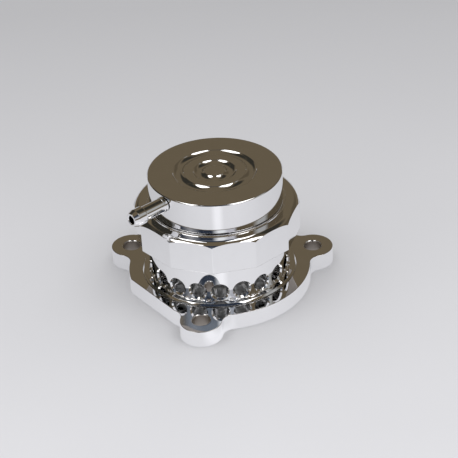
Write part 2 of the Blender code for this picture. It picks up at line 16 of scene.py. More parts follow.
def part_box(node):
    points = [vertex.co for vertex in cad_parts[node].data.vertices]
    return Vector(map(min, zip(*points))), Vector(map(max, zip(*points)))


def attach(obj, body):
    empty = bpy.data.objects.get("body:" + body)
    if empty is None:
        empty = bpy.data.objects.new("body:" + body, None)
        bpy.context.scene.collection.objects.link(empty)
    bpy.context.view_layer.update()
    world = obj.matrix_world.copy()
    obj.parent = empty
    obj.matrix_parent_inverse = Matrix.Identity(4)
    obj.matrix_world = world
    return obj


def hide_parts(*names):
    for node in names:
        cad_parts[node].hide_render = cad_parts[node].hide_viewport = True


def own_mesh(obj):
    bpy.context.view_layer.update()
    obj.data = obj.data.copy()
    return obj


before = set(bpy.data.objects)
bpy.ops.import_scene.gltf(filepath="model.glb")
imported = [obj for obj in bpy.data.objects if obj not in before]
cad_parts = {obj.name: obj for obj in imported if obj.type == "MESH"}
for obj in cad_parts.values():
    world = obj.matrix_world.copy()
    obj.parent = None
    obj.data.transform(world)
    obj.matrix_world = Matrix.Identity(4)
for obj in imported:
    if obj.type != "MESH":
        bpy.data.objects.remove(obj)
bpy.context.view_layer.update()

bl_info = {
    "name": "Blow Off Valve Dressing",
    "version": (1, 0, 0),
    "blender": (4, 5, 0),
    "location": "View3D > Sidebar > Valve",
    "description": "Builds the polished pieces of a blow off valve on its frame, and a pale studio",
    "category": "Add Mesh",
}

# Places that the frame gives
cap_low, cap_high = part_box("top_cap")
body_low, body_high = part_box("valve_body")
piston_low, piston_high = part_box("piston")
shim_low, shim_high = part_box("preload_shim")
spring_low, spring_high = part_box("spring")
valve_axis = Vector(((cap_low.x + cap_high.x) / 2.0, (cap_low.y + cap_high.y) / 2.0, 0.0))
flange_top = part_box("base_flange")[1].z
cap_radius = (cap_high.x - cap_low.x) / 2.0
piston_radius = (piston_high.x - piston_low.x) / 2.0
shim_radius = (shim_high.x - shim_low.x) / 2.0
spring_outer = (spring_high.x - spring_low.x) / 2.0

# Flange
PORT_RADIUS = 0.0130
PORT_CHAMFER = 0.0006
SEAT_LIP_WIDTH = 0.0016
SEAT_LIP_TOP = 0.0050
RECESS_FLOOR = 0.0039
RECESS_RADIUS = 0.0242
FLANGE_RADIUS = 0.0351
FLAT_DISTANCE = 0.0328
FLAT_ANGLE = 214.1
BOLT_CIRCLE_RADIUS = 0.0380
BOLT_HOLE_RADIUS = 0.00325
BOLT_HOLE_CHAMFER = 0.0004
EAR_RADIUS = 0.0079
EAR_FILLET = 0.0045
EAR_ANGLES = (13.9, 154.9, 258.0)
FACE_GROOVE = (0.01635, 0.01925, 0.0027)
BODY_GROOVE = (0.02115, 0.02335, 0.0020)

# Body
CHAMBER_RADIUS = 0.0205
CHAMBER_TOP = 0.0167
CYLINDER_RADIUS = 0.0185
CYLINDER_LEAD_IN = 0.0005
SPIGOT_RADIUS = 0.0240
BODY_SEAT_GAP = 0.0002
FOOT_RADIUS = 0.0299
FOOT_HEIGHT = 0.0008
WAIST_RADIUS = 0.0270
WAIST_FILLET = 0.0004
VENT_COUNT = 20
VENT_RADIUS = 0.0030
VENT_Z = 0.0115
VENT_PHASE = -0.9
FIRST_COLUMN = VENT_PHASE - 180.0 / VENT_COUNT
# Softness of a countersink's edges, as a share of its width
VENT_SOFTNESS = 0.2
# Rows of wall points round a vent, as shares of the way to its rim
VENT_ROWS = (0.4, 0.75, 0.93)
# The rounded inner end of a vent, as (wider, deeper) in edge roundings
VENT_INNER_RIM = ((0.0, 1.0), (0.3, 0.3), (1.0, 0.0))
FACET_COUNT = 12
FACET_PHASE = 25.3
FACET_BOTTOM = 0.0227
SAME_HEIGHT = 0.00002
CORNER_RADIUS = 0.03164
SHOULDER_FLAT = 0.02860
SHOULDER_ROUND = 0.0035
STEP_RADIUS = 0.0259
STEP_HEIGHT = 0.0004
CAP_BORE_RADIUS = 0.0220

# Cap
CAP_GAP = 0.0002
CAP_CHAMFER = 0.0003
CAP_RIM_ROUNDING = 2.5
CAP_SPIGOT_RADIUS = 0.0218
CAP_HOLLOW_RADIUS = 0.0190
CAP_SEAL_FLOOR = 0.0199
CAP_SEAL_PLACE = 0.0030
SEAL_GROOVE_WIDTH = 0.0022
CROWN_THICKNESS = 0.0078
SPRING_POCKET_DEPTH = 0.0030
SPRING_POCKET_RADIUS = 0.01295
GROOVE_RADII = (0.0137, 0.0060)

# Nipple
NIPPLE_ANGLE = 220.7
NIPPLE_DROP = 0.0034
NIPPLE_REACH = 0.0156
NIPPLE_BORE_RADIUS = 0.0016
NIPPLE_TIP_RADIUS = 0.0025
NIPPLE_SHANK_RADIUS = 0.0028
NIPPLE_BARB_RADIUS = 0.0033
NIPPLE_BARB_LENGTH = 0.0052
NIPPLE_BARB_CONE = 0.0020
NIPPLE_COLLAR_RADIUS = 0.0030
NIPPLE_COLLAR_LENGTH = 0.0016
NIPPLE_STEM_RADIUS = 0.0022
NIPPLE_STEM_LENGTH = 0.0052
NIPPLE_GAP = 0.0002
DRILL_BEYOND = 0.001
CROSS_DRILLING_RADIUS = 0.0015
CROSS_DRILLING_PLACE = 0.01575

# Piston, its seals and its spring
NOSE_RADIUS = 0.01615
NOSE_SEAL = (0.0124, 0.0152, 0.0052, 0.0070)
NOSE_GROOVE = (0.01225, 0.01535, 0.00715)
SKIRT_BOTTOM = 0.0177
SKIRT_STEP = 0.00215
BAND_GROOVE = (0.0195, 0.0224)
BAND_FLOOR = 0.0174
RING_GROOVE = (0.0246, 0.0268)
RING_FLOOR = 0.0164
PISTON_WALL = 0.0010
PISTON_CHAMFER = 0.0006
PISTON_FLOOR = 0.0092
PISTON_POCKET_RADIUS = 0.01355
PISTON_POCKET_TOP = 0.0202
SEAL_SECTIONS = {"piston": 0.0009, "cap": 0.0009, "body": 0.0009, "flange": 0.0012}
SHIM_WIDTH = 0.0036
WIRE_RADIUS = 0.0009
ACTIVE_COILS = 5.0
END_COILS = 1.25
END_PITCH = 0.0020
GROUND_DEPTH = 0.0005

# Parts that aren't polished, in drilled holes and under the flats: their points' mark, their darker
# colour, which is painted shade, and their extra roughness
ROUGH = "rough"
ROUGH_PAINTED_SHADE_COLOUR = (0.46, 0.42, 0.38)
ROUGH_EXTRA = 0.40

# Noises of the finishes, as cells a metre, detail and stretch along each axis
HAZE = (260.0, 4.0)
SWIRLS = (900.0, 2.0, (1.0, 1.0, 6.0))
WAVES = (90.0, 1.0)
GRAIN = (2600.0, 3.0)
MARKS = (500.0, 2.0, (1.0, 1.0, 9.0))
BLOOM = (420.0, 4.0)
SKIN = (4200.0, 2.0)
CLOUDS = (9.0, 2.0)
NOISE_LOW = 0.3
NOISE_HIGH = 0.7

# Bumps of the finishes, as strength and distance
WAVE_BUMP = (0.12, 0.0002)
SWIRL_BUMP = (0.02, 0.00002)
MARK_BUMP = (0.15, 0.00003)
SKIN_BUMP = (0.2, 0.00002)

# Roughness of the polish from its clearest to its haziest, and how far other finishes vary
POLISH = (0.025, 0.055)
GRAIN_SPREAD = 0.06
BLOOM_SPREAD = 0.08

# Camera, table and panels
CAMERA_PLACE = (0.0, -0.51377, 0.34761)
CAMERA_PITCH = 32.36
CAMERA_YAW = 0.48
CAMERA_ROLL = -2.79
CAMERA_LENS = 124.88
SENSOR_WIDTH = 36.0
FLOOR_REACH = 4.0
LOOK_AT = Vector((0.0, 0.0, 0.024))
PANEL_DISTANCE = 1.0
PANEL_RISE = 60.0
PANEL_HEIGHT = 0.42
LEFT_PANEL = (-70.0, 0.50)
RIGHT_PANEL = (57.0, 0.50)

# The table's colour changes from near to far: painted shade darkens it towards the back. Its shades are
# two near ones, which differ at random, and the painted far shade
PAINTED_SHADE_START = -0.11
PAINTED_SHADE_FULL = 0.26
FLOOR_TONES_AND_PAINTED_FAR_SHADE = (1.05, 1.15, 0.77)

# How far the metal shows the table's painted glow, and the painted pool of light close beside the valve
PAINTED_GLOW_SHARE = 0.65
PAINTED_POOL_BESIDE = 0.17
PAINTED_POOL_START = 0.035
PAINTED_POOL_END = 0.085

# Painted light and shade on the table, seen only in the metal, by the turn from the camera's side, with
# 0.5 as plain: a painted bright streak straight in front, and painted darker sides and back
PAINTED_TABLE_LIGHT = (
    (-180.0, 0.10), (-100.0, 0.00), (-80.0, 0.10), (-40.0, 0.30), (-9.0, 0.40), (-2.0, 1.10),
    (3.0, 1.10), (10.0, 0.40), (30.0, 0.42), (75.0, 0.26), (100.0, 0.30), (180.0, 0.10),
)

# Paler parts of the room beside its window
WINDOW_EDGE = (0.300, 0.300, 0.310)
WINDOW_SIDE = (0.520, 0.520, 0.560)
NEUTRAL_WALL = (0.370, 0.375, 0.370)
UPPER_SHADE = (0.170, 0.195, 0.230)

# Heights in the room, where 1 is straight up: the table's end, and the bands of the walls,
# which each fade in between the first two and out between the last two
TABLE_EDGE = 0.02
WALL_FOOT = 0.06
FRONT_HEIGHTS = (0.28, 0.36, 0.60, 0.64)
MIDDLE_HEIGHTS = (0.56, 0.59, 0.68, 0.74)
HIGH_HEIGHTS = (0.66, 0.74, 0.86, 0.92)
BLACK = (0.0, 0.0, 0.0)
WHITE = (1.0, 1.0, 1.0)

# Fineness of the meshes
SEGMENTS = 288
COLUMNS = 360
VENT_SIDE_STEPS = 9
ARC_STEP = 10.0
GROOVE_STEPS = 20
SEAL_STEPS = 24
WIRE_SIDES = 20
WIRE_STEPS = 60
EAR_STEPS = 48
EAR_FILLET_STEPS = 12
DISC_STEP = 1.5
TOP_EDGE_STEPS = 8
HOLE_SEGMENTS = 72
FACET_CORNER_STEPS = 3
WAIST_FILLET_STEPS = 4
SHOULDER_STEPS = 10
SHARP_ANGLE = 32.0
FLAT_WEIGHT = 80
# The most of an outline's side that one rounding takes up
MOST_OF_SIDE = 0.49


# Kinds of setting
length_setting = partial(FloatProperty, precision=5, unit="LENGTH")
colour_setting = partial(FloatVectorProperty, min=0.0, max=1.0, subtype="COLOR")
strength_setting = partial(FloatProperty, min=0.0)


class ValveShape(bpy.types.PropertyGroup):
    """The edges and hollows that give the polished pieces their highlights."""

    edge: length_setting(
        name="Edge rounding",
        description="Radius of the polished edges of the turned pieces",
        default=0.00015,
        min=0.00002,
    )
    flange_edge: length_setting(
        name="Flange edge rounding",
        description="Radius round the upper edge of the flange",
        default=0.00020,
        min=0.00002,
    )
    facet_corner: length_setting(
        name="Facet corner rounding",
        description="Radius of the upright edges between the body's twelve flats",
        default=0.00040,
        min=0.00005,
    )
    vent_countersink: length_setting(
        name="Vent countersink",
        description="Width and depth of the bevel round each vent hole",
        default=0.00060,
        min=0.0002,
    )
    groove_half_width: length_setting(
        name="Groove half width",
        description="Half of the width of each groove in the cap's top",
        default=0.0021,
        min=0.0005,
    )
    groove_depth: length_setting(
        name="Groove depth",
        description="Depth of each groove in the cap's top",
        default=0.00094,
        min=0.0002,
    )


class ValveFinish(bpy.types.PropertyGroup):
    """Colours of the pieces."""

    polished: colour_setting(
        name="Polished aluminium",
        description="Colour of the mirror-polished outer pieces",
        default=(0.94, 0.94, 0.95),
    )
    anodised: colour_setting(
        name="Anodised piston",
        description="Colour of the piston's clear anodised surface",
        default=(0.86, 0.86, 0.85),
    )
    steel: colour_setting(
        name="Spring steel",
        description="Colour of the spring wire and the shim",
        default=(0.50, 0.50, 0.52),
    )
    rubber: colour_setting(
        name="Seal rubber",
        description="Colour of the seals",
        default=(0.020, 0.020, 0.021),
    )
    band: colour_setting(
        name="Guide band",
        description="Colour of the piston's plastic guide band",
        default=(0.75, 0.72, 0.65),
    )


class StudioLook(bpy.types.PropertyGroup):
    """Floor, room and lamps round the valve."""

    floor: colour_setting(
        name="Floor",
        description="Colour of the table",
        default=(0.66, 0.66, 0.685),
    )
    plain_light: strength_setting(
        name="Plain light",
        description="Strength of the even light that falls on everything",
        default=0.84,
    )
    # Painted glow: the table shines in the metal though it is no lamp
    painted_table_glow: strength_setting(
        name="Table in the metal",
        description="Brightness of the table where the metal mirrors it, as a share of its colour",
        default=1.10,
    )
    # Painted highlight: a bright streak on the table in front of the valve, seen only in the metal
    painted_streak: strength_setting(
        name="Streak",
        description="Extra brightness of the table in the metal, straight in front of the valve",
        default=0.25,
    )
    panel_glow: strength_setting(
        name="Panel brightness",
        description="Brightness of the soft panels as the metal shows them, where 1 is white",
        default=2.2,
    )
    room_wall: colour_setting(
        name="Room wall",
        description="Dark olive brown that the level surfaces mirror",
        default=(0.130, 0.103, 0.066),
    )
    room_dark: colour_setting(
        name="Room dark",
        description="Near black parts of the room beside the camera and behind the valve",
        default=(0.030, 0.028, 0.022),
    )
    room_shade: colour_setting(
        name="Room shade",
        description="Dark blue part of the room behind the camera",
        default=(0.026, 0.034, 0.052),
    )
    window: colour_setting(
        name="Window",
        description="Bright narrow window behind the camera",
        default=(0.82, 0.84, 0.86),
    )


# Shapes


def arc(centre, radius, start, end, steps):
    """Points along an arc, with angles in degrees from +X."""
    found = []
    for step in range(steps + 1):
        angle = math.radians(start + (end - start) * step / steps)
        found.append((centre[0] + radius * math.cos(angle), centre[1] + radius * math.sin(angle)))
    return found


def rounded(corners, closed=True):
    """An outline from corners of (radius, height, rounding), each turned into a small arc."""
    found = []
    for place, (across, up, rounding) in enumerate(corners):
        corner = Vector((across, up))
        if rounding == 0.0 or (not closed and place in (0, len(corners) - 1)):
            found.append(tuple(corner))
            continue
        before = Vector(corners[place - 1][:2]) - corner
        after = Vector(corners[(place + 1) % len(corners)][:2]) - corner
        half = before.angle(after) / 2.0
        reach = min(rounding / math.tan(half), MOST_OF_SIDE * min(before.length, after.length))
        radius = reach * math.tan(half)
        to_middle = (before.normalized() + after.normalized()).normalized()
        middle = corner + to_middle * (radius / math.sin(half))
        first = before.normalized() * reach + corner - middle
        last = after.normalized() * reach + corner - middle
        start = math.degrees(math.atan2(first.y, first.x))
        turn = math.degrees(math.atan2(last.y, last.x)) - start
        turn = (turn + 180.0) % 360.0 - 180.0
        steps = max(2, math.ceil(round(abs(turn) / ARC_STEP, 3)))
        found += arc(middle, radius, start, start + turn, steps)
    return found


def ring(shape, radius, height, segments=SEGMENTS, centre=(0.0, 0.0)):
    """The points of one turned circle, or one point on the axis."""
    if radius == 0.0:
        return [shape.verts.new((centre[0], centre[1], height))]
    found = []
    for across, along in arc(centre, radius, 0.0, 360.0, segments)[:-1]:
        found.append(shape.verts.new((across, along, height)))
    return found


def bridge(shape, low, high):
    """Faces between two rings of points, where either may be one point on the axis."""
    count = max(len(low), len(high))
    for step in range(count):
        onward = (step + 1) % count
        corners = [low[step % len(low)], low[onward % len(low)]]
        corners += [high[onward % len(high)], high[step % len(high)]]
        shape.faces.new(list(dict.fromkeys(corners)))


def turn_open(shape, profile, segments=SEGMENTS, centre=(0.0, 0.0)):
    """Turns a profile whose ends stay open, and returns its first and last rings."""
    rings = [ring(shape, across, up, segments, centre) for across, up in profile]
    for low, high in zip(rings, rings[1:]):
        bridge(shape, low, high)
    return rings[0], rings[-1]


def turned(profile, segments=SEGMENTS):
    """A closed body of revolution about Z, from its (radius, height) outline."""
    shape = bmesh.new()
    first, last = turn_open(shape, profile, segments)
    if len(first) > 1 or len(last) > 1:
        bridge(shape, last, first)
    return shape


def mark_rough_and_shaded(shape, inside):
    """Marks the points of drilled walls and other parts that the polishing wheel doesn't reach. The mark
    makes them rougher, and darker with painted shade.
    """
    mark = shape.verts.layers.float.new(ROUGH)
    for point in shape.verts:
        point[mark] = 1.0 if inside(point.co) else 0.0


def loop_edges(points):
    """The edges of a ring of points, which faces already join."""
    found = []
    for this, following in zip(points, points[1:] + points[:1]):
        found.append(next(edge for edge in this.link_edges if following in edge.verts))
    return found


def rectangle(inner, outer, low, high, rounding):
    """The outline of a flat ring, with rounded corners."""
    corners = ((inner, low), (outer, low), (outer, high), (inner, high))
    return rounded([(across, up, rounding) for across, up in corners])


def add_piece(name, shape, node, body, material):
    """Makes the object that stands for a CAD node, smooth shaded and sharp at steep edges."""
    bmesh.ops.recalc_face_normals(shape, faces=shape.faces)
    mesh = bpy.data.meshes.new(name)
    shape.to_mesh(mesh)
    shape.free()
    mesh.shade_smooth()
    mesh.set_sharp_from_angle(angle=math.radians(SHARP_ANGLE))
    mesh.materials.append(material)
    piece = bpy.data.objects.new(name, mesh)
    bpy.context.scene.collection.objects.link(piece)
    piece.location = valve_axis
    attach(piece, body)
    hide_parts(node)
    return piece


def even_normals(piece):
    """Lets the large faces set the normals, so that flats mirror as flats."""
    modifier = piece.modifiers.new("even_normals", "WEIGHTED_NORMAL")
    modifier.keep_sharp = True
    modifier.weight = FLAT_WEIGHT


# Flange


def direction(degrees):
    return Vector((math.cos(math.radians(degrees)), math.sin(math.radians(degrees))))


def angle_of(vector):
    return math.degrees(math.atan2(vector[1], vector[0]))


def turn_to(start, end, way):
    """The end angle moved by whole turns, so that start to end runs the given way."""
    while way * (end - start) < 0.0:
        end += way * 360.0
    while way * (end - start) >= 360.0:
        end -= way * 360.0
    return end


def flat_half(inset):
    """Half of the angle, seen from the axis, that the flat takes from the disc's edge."""
    return math.degrees(math.acos((FLAT_DISTANCE - inset) / (FLANGE_RADIUS - inset)))


def ear_fillet(ear_angle, side):
    """The centre of the fillet beside an ear, and the angle to where it leaves the disc."""
    ear = direction(ear_angle) * BOLT_CIRCLE_RADIUS
    reach = EAR_RADIUS + EAR_FILLET
    out = FLANGE_RADIUS + EAR_FILLET
    cosine = (out**2 + BOLT_CIRCLE_RADIUS**2 - reach**2) / (2.0 * out * BOLT_CIRCLE_RADIUS)
    centre = direction(ear_angle + side * math.degrees(math.acos(cosine))) * out
    normal = direction(FLAT_ANGLE)
    if centre.dot(normal) * FLANGE_RADIUS / out <= FLAT_DISTANCE:
        return centre, angle_of(-centre)
    along = direction(FLAT_ANGLE + 90.0)
    rise = FLAT_DISTANCE + EAR_FILLET - ear.dot(normal)
    place = ear.dot(along) + side * math.sqrt(reach**2 - rise**2)
    return normal * (FLAT_DISTANCE + EAR_FILLET) + along * place, angle_of(-normal)


def concave_arc(centre, inset, start, end):
    return arc(centre, EAR_FILLET + inset, start, turn_to(start, end, -1.0), EAR_FILLET_STEPS)


def disc_run(start, end, inset):
    """The disc's edge between two ears, as far as the flat leaves it."""
    corners = [turn_to(start, FLAT_ANGLE + side * flat_half(0.0), 1.0) for side in (-1.0, 1.0)]
    draw_in = flat_half(inset) - flat_half(0.0)
    found = []
    for first, last in ((start, min(end, corners[0])), (corners[1], end)):
        if first >= last:
            continue
        steps = max(1, round((last - first) / DISC_STEP))
        first += draw_in if first == corners[1] else 0.0
        last -= draw_in if last == corners[0] else 0.0
        found += arc((0.0, 0.0), FLANGE_RADIUS - inset, first, last, steps)
    return found


def flange_outline(inset):
    """The flange's outline, counter-clockwise, drawn in by an inset all the way round."""
    outline = []
    for place, ear_angle in enumerate(EAR_ANGLES):
        ear = direction(ear_angle) * BOLT_CIRCLE_RADIUS
        before, arrive = ear_fillet(ear_angle, -1.0)
        after, leave = ear_fillet(ear_angle, 1.0)
        start = angle_of(before - ear)
        end = turn_to(start, angle_of(after - ear), 1.0)
        outline += concave_arc(before, inset, arrive, angle_of(ear - before))
        outline += arc(ear, EAR_RADIUS - inset, start, end, EAR_STEPS)[1:-1]
        outline += concave_arc(after, inset, angle_of(ear - after), leave)
        following, meeting = ear_fillet(EAR_ANGLES[(place + 1) % len(EAR_ANGLES)], -1.0)
        on_flat = following.dot(direction(FLAT_ANGLE)) > FLAT_DISTANCE
        run_start = angle_of(after)
        run_end = turn_to(run_start, FLAT_ANGLE if on_flat else meeting + 180.0, 1.0)
        run = disc_run(run_start, run_end, inset)
        outline += run[1:] if on_flat else run[1:-1]
    return outline


def flange_shape(look):
    shape = bmesh.new()
    edge, top_edge = look.edge, look.flange_edge
    levels = [(edge, 0.0), (0.0, edge)]
    levels += [(top_edge - across, up) for across, up in
               arc((0.0, flange_top - top_edge), top_edge, 0.0, 90.0, TOP_EDGE_STEPS)]
    loops = []
    for inset, height in levels:
        loops.append([shape.verts.new((x, y, height)) for x, y in flange_outline(inset)])
    for low, high in zip(loops, loops[1:]):
        bridge(shape, low, high)
    bottom_loops, top_loops = [loops[0]], [loops[-1]]
    lip_outer = PORT_RADIUS + SEAT_LIP_WIDTH
    margin = 2.0 * edge
    middle = [
        (RECESS_RADIUS + margin, flange_top, 0.0),
        (RECESS_RADIUS, flange_top, edge),
        (RECESS_RADIUS, RECESS_FLOOR, edge),
        (BODY_GROOVE[1], RECESS_FLOOR, edge / 2.0),
        (BODY_GROOVE[1], BODY_GROOVE[2], edge / 2.0),
        (BODY_GROOVE[0], BODY_GROOVE[2], edge / 2.0),
        (BODY_GROOVE[0], RECESS_FLOOR, edge / 2.0),
        (lip_outer, RECESS_FLOOR, edge),
        (lip_outer, SEAT_LIP_TOP, edge),
        (PORT_RADIUS, SEAT_LIP_TOP, edge),
        (PORT_RADIUS, PORT_CHAMFER, edge),
        (PORT_RADIUS + PORT_CHAMFER, 0.0, edge),
        (FACE_GROOVE[0], 0.0, edge / 2.0),
        (FACE_GROOVE[0], FACE_GROOVE[2], edge),
        (FACE_GROOVE[1], FACE_GROOVE[2], edge),
        (FACE_GROOVE[1], 0.0, edge / 2.0),
        (FACE_GROOVE[1] + margin, 0.0, 0.0),
    ]
    upper, lower = turn_open(shape, rounded(middle, closed=False))
    top_loops.append(upper)
    bottom_loops.append(lower)
    wide = BOLT_HOLE_RADIUS + BOLT_HOLE_CHAMFER
    hole = [
        (wide + margin, flange_top, 0.0),
        (wide, flange_top, edge),
        (BOLT_HOLE_RADIUS, flange_top - BOLT_HOLE_CHAMFER, edge),
        (BOLT_HOLE_RADIUS, BOLT_HOLE_CHAMFER, edge),
        (wide, 0.0, edge),
        (wide + margin, 0.0, 0.0),
    ]
    places = [direction(ear_angle) * BOLT_CIRCLE_RADIUS for ear_angle in EAR_ANGLES]
    for place in places:
        upper, lower = turn_open(shape, rounded(hole, closed=False), HOLE_SEGMENTS, place)
        top_loops.append(upper)
        bottom_loops.append(lower)
    for loops_of_face in (bottom_loops, top_loops):
        edges = [item for loop in loops_of_face for item in loop_edges(loop)]
        bmesh.ops.triangle_fill(shape, use_beauty=True, edges=edges, normal=(0.0, 0.0, 1.0))
    reach = BOLT_HOLE_RADIUS + edge / 2.0
    # The bolt holes' walls get the rough mark: rougher, and darkened with painted shade
    mark_rough_and_shaded(shape, lambda point: any((point.xy - place).length < reach for place in places))
    return shape


# Body


def facet_columns(look):
    """Column angles for the flats, gathered at the corners, and the body's reach at each."""
    half = 180.0 / FACET_COUNT
    flat = CORNER_RADIUS * math.cos(math.radians(half))
    middle = (flat - look.facet_corner) / math.cos(math.radians(half))
    touch = direction(half) * look.facet_corner + Vector((middle, 0.0))
    corner_end = angle_of(touch)
    per_facet = COLUMNS // FACET_COUNT
    near = [corner_end * step / FACET_CORNER_STEPS for step in range(FACET_CORNER_STEPS + 1)]
    between = per_facet - 2 * FACET_CORNER_STEPS
    plain = 2.0 * (half - corner_end)
    offsets = near + [corner_end + plain * step / between for step in range(1, between)]
    offsets += [2.0 * half - offset for offset in reversed(near[1:])]
    first = round((FACET_PHASE - FIRST_COLUMN) * COLUMNS / 360.0)
    angles, reaches = [0.0] * COLUMNS, [0.0] * COLUMNS
    for facet in range(FACET_COUNT):
        for step, offset in enumerate(offsets):
            column = (first + facet * per_facet + step) % COLUMNS
            angles[column] = FACET_PHASE + 2.0 * half * facet + offset
            away = math.radians(min(offset, 2.0 * half - offset))
            if math.degrees(away) < corner_end:
                lift = math.sqrt(look.facet_corner**2 - (middle * math.sin(away)) ** 2)
                reaches[column] = middle * math.cos(away) + lift
            else:
                reaches[column] = flat / math.cos(math.radians(half) - away)
    return angles, reaches


def shoulder_round(reach, top):
    """The soft round from a flat's upper edge, at one reach, to the level shoulder."""
    spread = math.degrees(math.asin((reach - SHOULDER_FLAT) / SHOULDER_ROUND))
    centre = (SHOULDER_FLAT, top - SHOULDER_ROUND)
    points = arc(centre, SHOULDER_ROUND, 90.0 - spread, 90.0, SHOULDER_STEPS)
    return [(across, up, 0.0) for across, up in points]


def waist_surface(height):
    """Radius of the waist at one height: a cylinder with a fillet where it meets the foot."""
    foot_top = flange_top + BODY_SEAT_GAP + FOOT_HEIGHT
    short = foot_top + WAIST_FILLET - height
    if short <= 0.0:
        return WAIST_RADIUS
    return WAIST_RADIUS + WAIST_FILLET - math.sqrt(WAIST_FILLET**2 - short**2)


def chamber_surface(height):
    """Radius of the chamber at any height."""
    return CHAMBER_RADIUS


def polar(radius, degrees, height):
    angle = math.radians(degrees)
    return (radius * math.cos(angle), radius * math.sin(angle), height)


def vent_profile(look):
    """The rim of one vent, as (radius, depth below the waist) from its outer edge inward."""
    sink = look.vent_countersink
    soft = sink * VENT_SOFTNESS
    corners = [
        (VENT_RADIUS + sink + soft, 0.0, 0.0),
        (VENT_RADIUS + sink, 0.0, soft),
        (VENT_RADIUS, sink, soft),
        (VENT_RADIUS, 2.0 * sink, 0.0),
    ]
    return rounded(corners, closed=False)


def side_points(shape, surface, low, high, angle):
    """Points up the wall between two vents."""
    found = []
    for step in range(1, VENT_SIDE_STEPS):
        height = low + (high - low) * step / VENT_SIDE_STEPS
        found.append(shape.verts.new(polar(surface(height), angle, height)))
    return found


def add_vents(shape, look, outer, inner):
    """Twenty vents. outer and inner are (lower ring, upper ring, surface) of each wall."""
    per_vent = COLUMNS // VENT_COUNT
    spacing = 360.0 / VENT_COUNT
    sides = []
    for lower, upper, surface in (outer, inner):
        low, high = lower[0].co.z, upper[0].co.z
        angles = [FIRST_COLUMN + vent * spacing for vent in range(VENT_COUNT)]
        sides.append([side_points(shape, surface, low, high, angle) for angle in angles])
    for vent in range(VENT_COUNT):
        columns = [(vent * per_vent + column) % COLUMNS for column in range(per_vent + 1)]
        frames = []
        for (lower, upper, _), side in zip((outer, inner), sides):
            left, right = side[vent], side[(vent + 1) % VENT_COUNT]
            low_row = [lower[column] for column in columns]
            high_row = [upper[column] for column in columns]
            frames.append(low_row + right + high_row[::-1] + left[::-1])
        add_vent(shape, look, VENT_PHASE + vent * spacing, frames, outer[2])


def local_place(point, middle):
    """A wall point as (degrees from the vent's middle, height)."""
    angle = angle_of(point.co) - middle
    return (angle + 180.0) % 360.0 - 180.0, point.co.z


def vent_ring(shape, middle, turns, radius, surface, depth):
    """Points round one vent at a radius, so far below a wall's surface."""
    found = []
    for turn in turns:
        aside, height = radius * math.cos(turn), VENT_Z + radius * math.sin(turn)
        reach = math.sqrt(surface(height) ** 2 - aside**2) - depth
        place = direction(middle) * reach + direction(middle + 90.0) * aside
        found.append(shape.verts.new((place.x, place.y, height)))
    return found


def add_vent(shape, look, middle, frames, surface):
    """One vent: the wall round it, its countersunk rim and its bore to the inner wall."""
    outer_frame, inner_frame = frames
    places = [local_place(point, middle) for point in outer_frame]
    turns = []
    for offset, height in places:
        turns.append(math.atan2(height - VENT_Z, math.radians(offset) * WAIST_RADIUS))
    profile = vent_profile(look)
    rim_radius = profile[0][0]
    rings = [outer_frame]
    for share in VENT_ROWS:
        row = []
        for turn, (offset, level) in zip(turns, places):
            aside, height = rim_radius * math.cos(turn), VENT_Z + rim_radius * math.sin(turn)
            rim_offset = math.degrees(math.asin(aside / surface(height)))
            offset += (rim_offset - offset) * share
            level += (height - level) * share
            row.append(shape.verts.new(polar(surface(level), middle + offset, level)))
        rings.append(row)
    for radius, depth in profile:
        rings.append(vent_ring(shape, middle, turns, radius, surface, depth))
    for wider, back in VENT_INNER_RIM:
        radius = VENT_RADIUS + wider * look.edge
        rings.append(vent_ring(shape, middle, turns, radius, chamber_surface, -back * look.edge))
    rings.append(inner_frame)
    for low, high in zip(rings, rings[1:]):
        bridge(shape, low, high)


